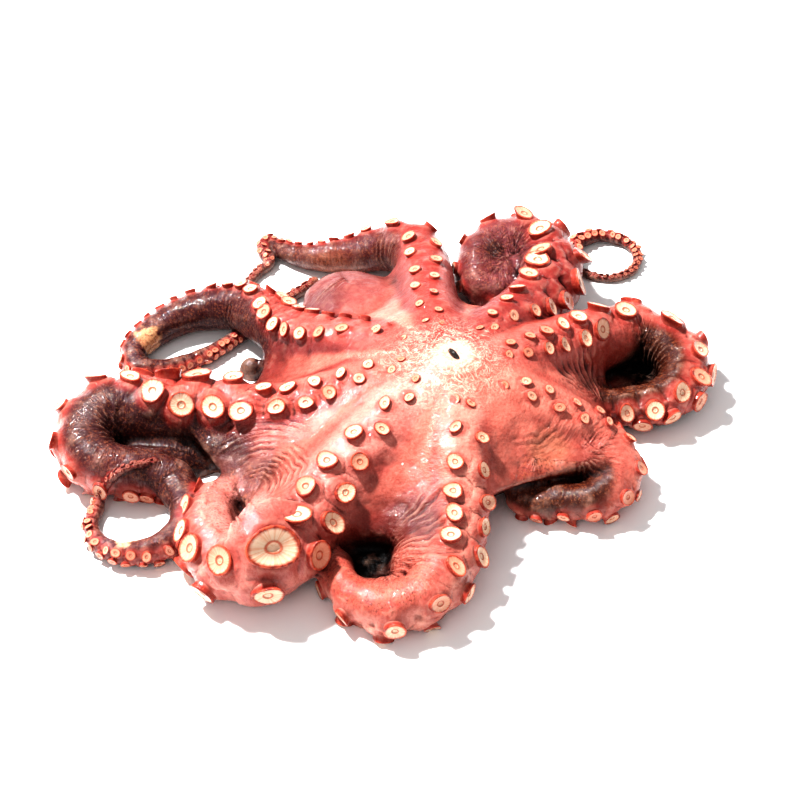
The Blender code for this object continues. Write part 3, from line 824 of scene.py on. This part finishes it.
SLENDER_LENGTH = 300.0     # longer arms have a darker thin end


def angle_round(turn):
    """How far round from the sucker side an angle lies, whichever way it is turned."""
    return np.abs((turn + math.pi) % (2 * math.pi) - math.pi)


def colour_of_arm(name, run, turn, length):
    """The colour of points on one arm from their run along it and their angle round."""
    oral, flank, outer, tip = (swatch(*colour) for colour in DRESSES[name])
    round_by = angle_round(turn)
    edge = math.radians(135) - math.radians(80) * smooth_step(90, 150, run)
    to_flank = smooth_step(math.radians(30), math.radians(62), round_by)[:, None]
    to_outer = smooth_step(-0.3, 0.3, round_by - edge)[:, None]
    colour = oral * (1 - to_flank) + flank * to_flank
    colour = colour * (1 - to_outer) + outer * to_outer
    to_tip = smooth_step(0.62 * length, 0.85 * length, run)[:, None] * (length > SLENDER_LENGTH)
    return colour * (1 - to_tip) + tip * to_tip


def arms_blended(gap, along, angle):
    """The colours of the nearest arms and how far they are outer skin, weighed by nearness."""
    weight = np.exp(-(gap - gap.min(axis=0)) / BLEND_REACH)
    weight /= weight.sum(axis=0)
    colour = np.zeros((gap.shape[1], 3))
    outer = np.zeros(gap.shape[1])
    for number, (name, limb) in enumerate(limbs.items()):
        colour += weight[number][:, None] * colour_of_arm(
            name, along[number], angle[number], limb.length)
        outer += (weight[number] * smooth_step(0.8, 1.3, angle_round(angle[number]))
                  * smooth_step(90, 150, along[number]))
    return colour, outer


def web_colour(points):
    """The web's colour, with painted shade that deepens towards the table."""
    upper = smooth_step(22, 52, points[:, 2])[:, None]
    return swatch(*WEB_SHADED_LOWER) * (1 - upper) + swatch(*WEB_UPPER) * upper


print("dresses:", len(DRESSES))

# %% [markdown]
# ## Patches of their own
# No animal is dyed by rule.  Dark dabs paint shade into the floors of the curls and their hollows,
# one tan dab paints a highlight on a web, the bag is dusky, two patches of skin are torn off so
# that cream flesh shows, and white streaks run out from the mouth along the ridges of the webs.
# Soft round dabs of colour, each with a place and a size in the animal's own space, are the
# simplest way to lay these on.

# %% Dabs, tears and streaks
# Dabs darker than this limit are painted shade in deep hollows, where nothing glints.
PAINTED_SHADE_LIMIT = 40                # a dab darker than this lies in a deep hollow, where nothing glints
Dab = namedtuple("Dab", "x y z size colour strength")
DABS = [
    # Near-black painted shade on the floor of the right arm's curl.
    Dab(129, 66, 6, 32, (20, 9, 7), 0.97),
    Dab(118, 14, 27, 26, (84, 40, 26), 0.85),
    # Near-black painted shade in the hollow of the front right arm's curl.
    Dab(73, -46, 6, 24, (26, 12, 10), 0.95),
    Dab(80, -66, 20, 24, (78, 34, 22), 0.92),
    Dab(56, -68, 14, 20, (84, 40, 26), 0.9),
    # Black painted shade in the hollow beside the front arm's curl.
    Dab(-50, -114, 2, 30, (5, 2, 2), 1.0),
    # Darker skin and painted shade low on the web between the left and front left arms.
    Dab(-157, -24, 10, 26, (60, 28, 30), 0.9),
    Dab(-142, -40, 24, 27, (66, 30, 32), 0.85),
    Dab(-213, -56, 24, 22, (120, 62, 62), 0.6),
    Dab(-134, -40, 14, 16, (84, 40, 38), 0.6),
    # Painted shade in the rings of creases round the front left arm's swirl.
    Dab(-117, -60, 24, 24, (96, 50, 42), 0.75),
    Dab(-26, -106, 30, 30, (110, 50, 46), 0.8),
    # Dark outer skin and painted shade inside the left arm's curl.
    Dab(-207, -4, 14, 24, (52, 26, 30), 0.8),
    Dab(-178, -14, 12, 22, (56, 28, 32), 0.8),
    Dab(-84, 166, 10, 22, (190, 120, 92), 0.55),
    Dab(-60, 180, 22, 16, (96, 44, 48), 0.7),
    # Painted shade in the gap between the back left and left arms.
    Dab(-134, 68, 8, 15, (52, 26, 28), 0.9),
    Dab(20, 160, 32, 26, (124, 60, 62), 0.8),
    # Painted shade in the slit of the back right arm's curl.
    Dab(32, 162, 34, 9, (50, 20, 22), 0.8),
    Dab(-68, 104, 42, 44, (150, 74, 74), 0.8),
    Dab(-86, 94, 34, 26, (106, 48, 50), 0.6),
    Dab(-51, 126, 34, 16, (120, 60, 60), 0.5),
    # Painted shade in the hole in the middle of the front left arm's swirl.
    Dab(-127, -74, 14, 16, (70, 30, 30), 0.85),
    Dab(-30, -140, 24, 34, (240, 140, 124), 0.6),
    # A tan painted highlight on the low part of the front right arm's web.
    Dab(57, -42, 32, 20, (232, 156, 122), 0.5),
]
# A patch where the skin is torn off and the cream flesh shows.
TEARS = [Dab(-206, 86, 14, 10, (240, 184, 138), 1.0), Dab(-199, -103, 12, 7, (244, 196, 156), 1.0)]
Ray = namedtuple("Ray", "heading width reach strength")
# Headings and widths are in degrees, reaches in millimetres.
RAYS = [
    Ray(164, 5, 115, 0.35), Ray(128, 4, 120, 0.4), Ray(-107, 3, 95, 0.45), Ray(-150, 4, 80, 0.2),
    Ray(55, 5, 70, 0.4), Ray(-40, 6, 60, 0.3)]


def distance_to(dab, points):
    """How far points lie from the middle of a dab."""
    return np.linalg.norm(points - (dab.x, dab.y, dab.z), axis=1)


def laid_over(colour, share, shade):
    """A swatch laid over the colours of points, by a share for each."""
    return colour * (1 - share[:, None]) + swatch(*shade) * share[:, None]


def dabbed(points, colour):
    """Colours with the dabs and tears on them, and how far each point lies in the darkest painted
    shade.
    """
    gloom = np.zeros(len(points))
    for dab in DABS:
        share = dab.strength * smooth_step(dab.size, dab.size * 0.4, distance_to(dab, points))
        colour = laid_over(colour, share, dab.colour)
        if max(dab.colour) < PAINTED_SHADE_LIMIT:
            gloom = np.maximum(gloom, share)
    for tear in TEARS:
        distance = distance_to(tear, points) + 1.6 * ripple(points, 6, 31)
        share = smooth_step(tear.size, tear.size - 1.5, distance)
        colour = laid_over(colour, share, tear.colour)
    return colour, gloom


def streaks(points, from_mouth):
    """The strength of the white streaks that run out from the mouth."""
    heading = np.degrees(np.arctan2(points[:, 1], points[:, 0])) + 2.5 * ripple(points, 30, 41)
    streak = np.zeros(len(points))
    for ray in RAYS:
        away = np.abs((heading - ray.heading + 180) % 360 - 180)
        streak = np.maximum(streak, ray.strength * smooth_step(ray.width, 0, away)
                            * smooth_step(ray.reach, ray.reach * 0.5, from_mouth))
    return streak


print("dabs:", len(DABS), "tears:", len(TEARS), "streaks:", len(RAYS))

# %% [markdown]
# ## All that a point is told
# The flesh pales to cream round the mouth.  The material also has to know where the outer skin
# is, how far the skin is squeezed, and which way the arm runs, so that its fine lines can follow.
# Values kept on the points are carried into the shader by name, which needs no image.

# %% What each point is told
CREAM = (228, 200, 176)
FLESH_DEPTH = 0.66         # the flesh is this much darker than its swatches
PALE_REACH = 50.0
ARM_OFFSET = 0.37          # keeps the grain of one arm apart from the next
Painted = namedtuple("Painted", "colour pale outer lie pinch near_arm gloom")


def paint(points):
    """Everything that the material has to know about points of the skin."""
    gap, along, angle, squeeze = arm_terms(points)
    owner = np.argmin(gap, axis=0)
    pick = np.arange(len(points))
    nearest_gap = gap[owner, pick]
    colour, outer = arms_blended(gap, along, angle)
    on_web = smooth_step(0.5, 5.0, nearest_gap)
    on_web = (on_web * smooth_step(150, 110, np.hypot(points[:, 0], points[:, 1])))[:, None]
    colour = colour * (1 - on_web) + web_colour(points) * on_web
    colour, gloom = dabbed(points, colour)
    from_mouth = np.linalg.norm(points - (0, 0, MOUTH_HEIGHT - 3), axis=1)
    lopsided = from_mouth + 0.15 * points[:, 0] + 3 * ripple(points, 14, 11)
    streak = streaks(points, from_mouth)
    pale = np.clip(np.exp(-(lopsided / PALE_REACH) ** 2 * 1.6) + streak, 0, 1)
    white = 0.6 * smooth_step(16, 8, from_mouth) + 0.05 * smooth_step(46, 14, lopsided)
    white = np.clip(white + 0.12 * streak, 0, 0.9)[:, None]
    colour = colour * FLESH_DEPTH * (1 - white) + swatch(*CREAM) * white
    radius = np.array([limb.radius.mean() for limb in limbs.values()])
    lie = np.stack([along[owner, pick] * MM,
                    angle[owner, pick] * radius[owner] * MM,
                    owner * ARM_OFFSET], axis=1)
    return Painted(colour, pale, outer, lie, squeeze[owner, pick],
                   smooth_step(6, 1, nearest_gap), gloom)


def store(thing, name, values, kind=None):
    """Keep one value, vector or colour for each point of a mesh."""
    kind = kind or ("FLOAT" if values.ndim == 1 else "FLOAT_VECTOR")
    layer = thing.data.attributes.new(name, kind, "POINT")
    field = {"FLOAT": "value", "FLOAT_VECTOR": "vector", "FLOAT_COLOR": "color"}[kind]
    layer.data.foreach_set(field, np.ascontiguousarray(values, dtype=np.float32).ravel())


def store_tint(thing, colour):
    """Keep a colour for each point, without transparency."""
    store(thing, "tint", np.hstack([colour, np.ones((len(colour), 1))]), "FLOAT_COLOR")


print("each point is told:", ", ".join(Painted._fields))

# %% [markdown]
# ## Hollows and ridges
# The skin is painted darker in its creases and valleys, as painted shade where little light gets in,
# and paler on its ridges, as a painted highlight.  Relaxing a copy of the points shows where they
# are: a hollow's points move outwards, and the points of a crest move inwards.


# %% Measure how hollow the skin is
def hollowness(thing, points, normals, rounds):
    """How far below its surroundings each point lies, in millimetres."""
    ends = np.zeros(len(thing.data.edges) * 2, dtype=int)
    thing.data.edges.foreach_get("vertices", ends)
    first, second = ends[0::2], ends[1::2]
    count = len(points)
    neighbours = np.bincount(first, minlength=count) + np.bincount(second, minlength=count)
    relaxed = points.copy()
    for _ in range(rounds):
        total = np.stack([np.bincount(first, relaxed[second, k], count)
                          + np.bincount(second, relaxed[first, k], count) for k in range(3)], 1)
        relaxed = 0.5 * relaxed + 0.5 * total / np.maximum(neighbours, 1)[:, None]
    return ((relaxed - points) * normals).sum(1)


CREASE_ROUNDS = 6
VALLEY_ROUNDS = 60
points = read_points(body) / MM
normals = read_points(body, "normal")
crease = hollowness(body, points, normals, CREASE_ROUNDS)
valley = hollowness(body, points, normals, VALLEY_ROUNDS)
print("deepest crease and valley, mm:", round(crease.max(), 2), round(valley.max(), 2))

# %% [markdown]
# ## Painting
# A painter would now brush the colours on.  Here everything worked out above is written to the
# points of the skin in one go, so that a changed route or dress repaints itself.

# %% Paint the skin
skin_paint = paint(points)
store_tint(body, skin_paint.colour)
store(body, "pale", skin_paint.pale)
store(body, "outer", skin_paint.outer * (1 - skin_paint.gloom))
store(body, "gloom", skin_paint.gloom)
store(body, "lie", skin_paint.lie)
store(body, "crinkle", 1.2 * smooth_step(0.1, 0.5, skin_paint.pinch)
      + 0.3 * skin_paint.near_arm + 0.5 * skin_paint.outer)
store(body, "ring", sucker_terms(points)[0])
store(body, "crease", np.clip(crease / 0.5, -1, 1))
store(body, "valley", np.clip(valley / 2.5, -1, 1))
fanned = np.zeros(len(points))
fan = np.zeros((len(points), 3))
for number, creases in enumerate(CREASES):
    mask, ahead, aside = crease_terms(points, creases)
    stronger = mask > fanned
    fan[stronger] = np.stack([aside * MM, ahead * MM, ahead * 0 + number], 1)[stronger]
    fanned = np.maximum(fanned, mask)
store(body, "fanned", fanned)
store(body, "fan", fan)
print("painted", len(points), "points")

# %% [markdown]
# ## One sucker
# A sucker is a short stem that flares to a red rim, with a cream, faintly grooved disc and a
# small pit in its middle.  It starts as a disc and is drawn up in edit mode ring by ring.  Three
# versions with fewer and fewer faces serve the large, middling and tiny ones.

# %% Model the suckers
# Each ring: height above the seat and radius, in sucker diameters, from the foot to the pit.
SUCKER_RINGS = [
    (-0.12, 0.50), (0.00, 0.49), (0.10, 0.485), (0.19, 0.49), (0.25, 0.50), (0.295, 0.508),
    (0.325, 0.495), (0.335, 0.465), (0.322, 0.43), (0.295, 0.36), (0.275, 0.27), (0.265, 0.19),
    (0.275, 0.150), (0.265, 0.125), (0.235, 0.105), (0.225, 0.07), (0.235, 0.035)]
PLAIN_RINGS = [
    (-0.12, 0.50), (0.04, 0.48), (0.20, 0.49), (0.30, 0.50), (0.325, 0.45), (0.29, 0.28),
    (0.285, 0.15), (0.24, 0.09)]
TINY_RINGS = [(-0.1, 0.46), (0.2, 0.49), (0.28, 0.42), (0.17, 0.16)]


def model_sucker(name, rings, sides):
    """A sucker one diameter wide, drawn up ring by ring from a disc."""
    first_height, first_radius = rings[0]
    bpy.ops.mesh.primitive_circle_add(
        vertices=sides, radius=first_radius, fill_type="NGON", location=(0, 0, first_height))
    bpy.ops.object.transform_apply(location=True, rotation=True, scale=True)
    sucker = bpy.context.object
    sucker.name = name
    bpy.ops.object.mode_set(mode="EDIT")
    bpy.ops.mesh.select_all(action="SELECT")
    height, radius = first_height, first_radius
    for next_height, next_radius in rings[1:]:
        bpy.ops.mesh.extrude_region_move(
            TRANSFORM_OT_translate={"value": (0, 0, next_height - height)})
        scale = next_radius / radius
        bpy.ops.transform.resize(value=(scale, scale, 1), center_override=(0, 0, next_height))
        height, radius = next_height, next_radius
    bpy.ops.mesh.select_all(action="SELECT")
    bpy.ops.mesh.normals_make_consistent(inside=False)
    bpy.ops.object.mode_set(mode="OBJECT")
    return sucker


masters = [
    (9.0, model_sucker("large sucker", SUCKER_RINGS, 28)),
    (4.5, model_sucker("middling sucker", PLAIN_RINGS, 14)),
    (0.0, model_sucker("tiny sucker", TINY_RINGS, 8))]


def vary(owner, local, chosen, random):
    """Bend each copy out of true: a slanting disc, an oval rim and a wavy edge."""
    count = len(chosen)
    lean = random.normal(0, 0.2, (count, 2))
    lean[[seat.size == GIANT.size for seat in chosen]] = 0
    oval = random.uniform(0.70, 1.0, count)
    wave = random.normal(0, 0.045, (count, 2))
    phase = random.uniform(0, 2 * math.pi, (count, 2))
    rise = np.clip(local[:, 2] + 0.1, 0, 1)
    angle = np.arctan2(local[:, 1], local[:, 0])
    wavy = 1 + rise * 2 * (wave[owner, 0] * np.cos(2 * angle + phase[owner, 0])
                           + wave[owner, 1] * np.cos(3 * angle + phase[owner, 1]))
    changed = local.copy()
    changed[:, 0] *= wavy
    changed[:, 1] *= wavy * oval[owner]
    changed[:, 0] += lean[owner, 0] * rise
    changed[:, 1] += lean[owner, 1] * rise
    changed[:, 2] += rise * (lean[owner, 0] * local[:, 0] + lean[owner, 1] * local[:, 1]) * 1.5
    return changed


random = np.random.default_rng(21)
parts = []
limit = math.inf
for smallest, master in masters:
    chosen = [seat for seat in seats if smallest <= seat.size < limit]
    limit = smallest
    turns = random.uniform(0, 2 * math.pi, len(chosen))
    owner = np.repeat(np.arange(len(chosen)), len(master.data.vertices))
    local = np.tile(read_points(master), (len(chosen), 1))
    thing = stand_copies(
        master.name + "s", master, chosen, turns, vary(owner, local, chosen, random))
    store(thing, "cup", local)
    store(thing, "each", random.uniform(0, 1, len(chosen))[owner])
    store(thing, "width", np.array([seat.size for seat in chosen], dtype=float)[owner])
    store_tint(thing, paint(np.array([seat.foot for seat in chosen])).colour[owner])
    parts.append(thing)
    bpy.data.objects.remove(master)
suckers = join(parts, "octopus_suckers")
write_points(suckers, read_points(suckers) / MM)
bpy.ops.object.shade_smooth()
print("sucker triangles:", triangle_count(suckers))

# %% [markdown]
# ## Wet skin
# The colour painted on each point is broken up by blotches, by a net of pale veins round the
# mouth, and on the outer skin by fine tan and dark specks.  A clear coat over a lightly bumpy
# skin gives the wet glints.


# %% Helper that builds shader nodes
class Shader:
    """A material and short calls to add and link its nodes."""

    def __init__(self, name):
        self.material = bpy.data.materials.new(name)
        self.material.use_nodes = True
        self.tree = self.material.node_tree
        self.principled = self.tree.nodes["Principled BSDF"]

    def add(self, kind, inputs=None, **settings):
        node = self.tree.nodes.new("ShaderNode" + kind)
        for key, value in settings.items():
            setattr(node, key, value)
        for key, value in (inputs or {}).items():
            self.plug(value, node.inputs[key])
        return node

    def plug(self, value, socket):
        if isinstance(value, bpy.types.NodeSocket):
            self.tree.links.new(value, socket)
        elif hasattr(value, "__len__") and len(value) == 3 and len(socket.default_value) == 4:
            socket.default_value = (*value, 1.0)
        else:
            socket.default_value = value

    def attribute(self, name, output="Fac"):
        return self.add("Attribute", attribute_name=name).outputs[output]

    def math(self, operation, first, second=0.0, clamp=False):
        return self.add("Math", {0: first, 1: second}, operation=operation,
                        use_clamp=clamp).outputs[0]

    def between(self, value, low, high, out_low=0.0, out_high=1.0):
        return self.add("MapRange", {"Value": value, "From Min": low, "From Max": high,
                                     "To Min": out_low, "To Max": out_high},
                        interpolation_type="SMOOTHSTEP").outputs["Result"]

    def noise(self, scale, detail=2.0, roughness=0.5, vector=None, distortion=0.0):
        inputs = {"Scale": scale, "Detail": detail, "Roughness": roughness,
                  "Distortion": distortion}
        inputs["Vector"] = vector or self.place()
        return self.add("TexNoise", inputs).outputs["Fac"]

    def place(self):
        return self.add("TexCoord").outputs["Object"]

    def times(self, first, second):
        return self.math("MULTIPLY", first, second)

    def patches(self, scale, detail, roughness, low, high, out_high=1.0, out_low=0.0):
        """Soft patches, where a noise lies between two of its values."""
        return self.between(self.noise(scale, detail, roughness), low, high, out_low, out_high)

    def threads(self, scale, detail, distortion, edge, core):
        """Thin winding lines, where a noise crosses its middle value."""
        noise = self.noise(scale, detail, 0.6, distortion=distortion)
        return self.between(self.math("ABSOLUTE", self.math("SUBTRACT", noise, 0.5)), edge, core)

    def wash(self, colour, share, shade, blend="MIX"):
        """Lay a swatch over a colour."""
        return self.mix(share, colour, swatch(*shade), blend)

    def mix(self, share, first, second, blend="MIX"):
        node = self.add("Mix", data_type="RGBA", blend_type=blend)
        self.plug(share, node.inputs[0])
        self.plug(first, node.inputs[6])
        self.plug(second, node.inputs[7])
        return node.outputs[2]

    def scaled(self, vector, scale):
        return self.add("VectorMath", {0: vector, 1: scale}, operation="MULTIPLY").outputs[0]

    def bump(self, height, strength, distance, normal=None):
        node = self.add("Bump", {"Height": height, "Strength": strength, "Distance": distance})
        if normal:
            self.plug(normal, node.inputs["Normal"])
        return node.outputs["Normal"]

    def surface(self, colour, roughness, normal):
        self.plug(colour, self.principled.inputs["Base Color"])
        self.plug(roughness, self.principled.inputs["Roughness"])
        self.plug(normal, self.principled.inputs["Normal"])

    def finish(self, thing):
        thing.data.materials.clear()
        thing.data.materials.append(self.material)


def wet(shader, coat, normal):
    """The wet coat and the soft flesh under it, which skin and suckers share."""
    inputs = shader.principled.inputs
    shader.plug(coat, inputs["Coat Weight"])
    shader.plug(normal, inputs["Coat Normal"])
    inputs["Coat Roughness"].default_value = 0.03
    inputs["Coat IOR"].default_value = 1.4
    inputs["Specular IOR Level"].default_value = 0.1
    inputs["Subsurface Weight"].default_value = 0.08
    inputs["Subsurface Radius"].default_value = (1.0, 0.35, 0.25)
    inputs["Subsurface Scale"].default_value = 0.004


# %% Skin material
skin = Shader("octopus wet skin")
colour = skin.attribute("tint", "Color")
pale_share = skin.attribute("pale")
outer_skin = skin.attribute("outer")
crease_share = skin.attribute("crease")
# Broad blotches, a fine grain and a paler flush.
colour = skin.wash(colour, skin.patches(48.0, 4.0, 0.6, 0.4, 0.72, 0.4), (214, 128, 124), "MULTIPLY")
colour = skin.wash(colour, skin.patches(520.0, 3.0, 0.7, 0.42, 0.62, 0.3), (190, 110, 104), "MULTIPLY")
colour = skin.wash(colour, skin.patches(130.0, 3.0, 0.6, 0.5, 0.75, 0.1), (250, 190, 168), "SCREEN")
# Tan and dark specks on the outer skin.
speck = skin.patches(620.0, 3.0, 0.65, 0.5, 0.66, 0.25)
colour = skin.wash(colour, skin.times(speck, outer_skin), (196, 116, 74))
dark_speck = skin.patches(650.0, 2.0, 0.6, 0.52, 0.66, 0.5)
colour = skin.wash(colour, skin.times(dark_speck, outer_skin), (44, 16, 18))
# A net of pale threads round the mouth.
thread = skin.threads(95.0, 3.0, 1.1, 0.032, 0.006)
fine_thread = skin.threads(300.0, 2.0, 0.8, 0.04, 0.008)
net = skin.math("MAXIMUM", thread, skin.times(fine_thread, 0.7))
net_share = skin.between(pale_share, 0.1, 0.9, 0.0, 0.7)
colour = skin.wash(colour, skin.times(net, net_share), (230, 200, 180))
# A red band round each sucker, darkened partly as painted shade, painted shade in the creases and
# valleys, and painted highlights on the ridges.
ring_share = skin.attribute("ring")
# Round each sucker's foot: partly the skin's own red, partly painted shade.
red_skirt_and_shade = skin.times(skin.between(ring_share, 0.80, 0.52), skin.between(pale_share, 0.9, 0.4))
colour = skin.wash(colour, skin.times(red_skirt_and_shade, 0.6), (142, 44, 38))
# Painted shade: creases and valleys are darkened, less so in the pale flesh near the mouth.
depth = skin.math("ADD", skin.between(crease_share, 0.08, 1.0, 0.0, 0.5),
                  skin.between(skin.attribute("valley"), 0.15, 1.0, 0.0, 0.55), clamp=True)
depth = skin.times(depth, skin.between(pale_share, 0.95, 0.5, 0.25, 1.0))
colour = skin.wash(colour, depth, (90, 34, 36), "MULTIPLY")
# Painted highlight: the ridges are lightened.
ridge_highlight = skin.between(crease_share, -0.15, -0.9, 0.0, 0.22)
colour = skin.wash(colour, ridge_highlight, (200, 160, 140), "SCREEN")
# Relief: swells and grain all over, lines across the arms, and lines along the fans.
lie = skin.scaled(skin.attribute("lie", "Vector"), (520.0, 90.0, 50.0))
arm_lines = skin.times(skin.noise(1.0, 3.0, 0.55, lie, 0.3), skin.attribute("crinkle"))
fan = skin.scaled(skin.attribute("fan", "Vector"), (430.0, 60.0, 3.0))
fan_lines = skin.times(skin.noise(1.0, 3.0, 0.6, fan, 0.4), skin.attribute("fanned"))
normal = skin.bump(skin.noise(150.0, 1.0, 0.5), 0.35, 0.0014)
normal = skin.bump(skin.noise(420.0, 3.0, 0.6), 0.7, 0.0009, normal)
normal = skin.bump(arm_lines, 0.9, 0.0018, normal)
normal = skin.bump(fan_lines, 1.0, 0.0014, normal)
normal = skin.bump(skin.noise(800.0, 2.0, 0.6), 0.12, 0.0005, normal)
skin.surface(colour, skin.patches(150.0, 3.0, 0.6, 0.3, 0.7, 0.55, 0.3), normal)
# The coat is left off in the painted shade of the darkest dabs.
wet(skin, skin.between(skin.attribute("gloom"), 0.1, 0.8, 0.6, 0.0), normal)
skin.finish(body)
print("skin shader nodes:", len(skin.tree.nodes))

# %% [markdown]
# ## Sucker colours
# Each copy remembers where every point lies on the model, in sucker diameters.  The shader reads
# that: a cream disc with fine grooves running out from the pit, an orange line round the pit, a
# deep red rim and a stem that fades to the colour of the arm it stands on, with painted shade
# where it meets the skin.

# %% Sucker material
cups = Shader("octopus sucker")
local = cups.attribute("cup", "Vector")
flat = cups.scaled(local, (1.0, 1.0, 0.0))
radius = cups.add("VectorMath", {0: flat}, operation="LENGTH").outputs["Value"]
height = cups.add("SeparateXYZ", {0: local}).outputs["Z"]
spoke = cups.add("VectorMath", {0: flat}, operation="NORMALIZE").outputs[0]
each = cups.attribute("each")
apart = cups.add("CombineXYZ", {"Z": cups.times(each, 37.0)}).outputs[0]
spoke = cups.add("VectorMath", {0: cups.scaled(spoke, (5.0, 5.0, 0.0)), 1: apart},
                 operation="ADD").outputs[0]
groove = cups.noise(1.6, 2.0, 0.6, spoke)
width = cups.attribute("width")
arm_colour = cups.attribute("tint", "Color")
# The disc: cream, ruddier on some suckers and on the small ones, with a red rim.
disc = cups.mix(cups.between(groove, 0.40, 0.64), swatch(222, 190, 164), swatch(214, 162, 134))
disc = cups.wash(disc, cups.between(each, 0.35, 1.0, 0.0, 0.75), (200, 122, 98))
disc = cups.wash(disc, cups.between(width, 13.0, 4.5, 0.0, 0.7), (200, 112, 88))
disc = cups.mix(cups.between(width, 4.8, 3.2, 0.0, 0.7), disc, arm_colour)
blush = cups.between(cups.math("ADD", radius, cups.times(groove, 0.06)), 0.40, 0.49)
rim = cups.mix(cups.patches(260.0, 2.0, 0.5, 0.4, 0.65), swatch(186, 84, 60), swatch(128, 44, 36))
disc = cups.mix(blush, disc, rim)
pit_line = cups.times(cups.between(radius, 0.10, 0.13), cups.between(radius, 0.19, 0.15))
disc = cups.wash(disc, cups.times(pit_line, 0.85), (168, 72, 44))
# The stem: the colour of its arm at the foot, red at the top, with painted shade where it meets the
# skin.
stem = cups.wash(arm_colour, cups.between(height, -0.04, 0.20), (146, 56, 46))
stem = cups.wash(stem, cups.patches(380.0, 2.0, 0.5, 0.5, 0.7, 0.5), (184, 96, 74))
stem = cups.mix(cups.between(width, 6.5, 3.5, 0.0, 0.85), stem, arm_colour)
# Painted shade at the very foot of the stem, where it meets the skin.
stem = cups.wash(stem, cups.between(height, 0.04, -0.06, 0.0, 0.6), (64, 16, 18))
colour = cups.mix(cups.between(height, 0.265, 0.31), stem, disc)
inside = cups.times(cups.between(radius, 0.42, 0.38), cups.between(height, 0.15, 0.20))
colour = cups.mix(inside, colour, disc)
normal = cups.bump(groove, 0.4, 0.0007)
normal = cups.bump(cups.noise(400.0, 2.0, 0.6), 0.4, 0.0008, normal)
cups.surface(colour, cups.patches(300.0, 2.0, 0.5, 0.3, 0.7, 0.42, 0.2), normal)
wet(cups, 0.8, normal)
cups.finish(suckers)
print("sucker shader nodes:", len(cups.tree.nodes))

# %% [markdown]
# ## Beak
# The beak is horn, nearly black and wet.  The solid's shape is right, so it stays and only gets
# a better material.

# %% Beak material
beak = frame["nodes"]["beak"]
horn = Shader("octopus beak horn")
streak = horn.noise(500.0, 3.0, 0.6)
horn_colour = horn.mix(streak, swatch(10, 7, 6), swatch(44, 26, 18))
horn.surface(horn_colour, horn.between(streak, 0.3, 0.7, 0.12, 0.3), horn.bump(streak, 0.3, 0.0003))
horn.principled.inputs["Coat Weight"].default_value = 0.6
horn.finish(beak)
print("beak triangles:", triangle_count(beak))

# %% [markdown]
# ## Floor and light
# A plain white floor and a bright white surrounding keep the colours clean.  One harder lamp,
# high on the left and a little behind, throws the shadow to the right and towards the viewer.

# %% Floor, world and lamps
LAMP_TARGET = Vector((-0.03, 0.02, 0.0))

alone(body)
bpy.ops.mesh.primitive_plane_add(size=8, location=(0, 0, 0))
floor = bpy.context.object
floor.name = "floor"
paper = Shader("white floor")
paper.principled.inputs["Base Color"].default_value = (0.93, 0.93, 0.93, 1)
paper.principled.inputs["Roughness"].default_value = 0.6
paper.finish(floor)

scene.world = scene.world or bpy.data.worlds.new("surroundings")
scene.world.use_nodes = True
backdrop = scene.world.node_tree.nodes["Background"]
backdrop.inputs["Color"].default_value = (1.0, 1.0, 1.0, 1)
backdrop.inputs["Strength"].default_value = 0.46


def add_lamp(name, place, size, power):
    """A square lamp that looks at the middle of the animal."""
    bpy.ops.object.light_add(type="AREA", location=place)
    lamp = bpy.context.object
    lamp.name = name
    lamp.rotation_euler = (LAMP_TARGET - Vector(place)).to_track_quat("-Z", "Y").to_euler()
    lamp.data.size = size
    lamp.data.energy = power


add_lamp("key", (-1.08, 0.62, 2.05), 0.2, 132)
add_lamp("fill", (-0.7, -1.7, 1.5), 1.0, 6)
scene.view_settings.view_transform = "Standard"
scene.view_settings.look = "High Contrast"
bpy.data.objects.remove(section)

# %% [markdown]
# ## Hand over
# The skin and the suckers stand for the one solid octopus, and everything rides on the root.

# %% Ride, replace and finish
for piece in (body, suckers):
    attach(piece, "root")
    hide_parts("octopus")
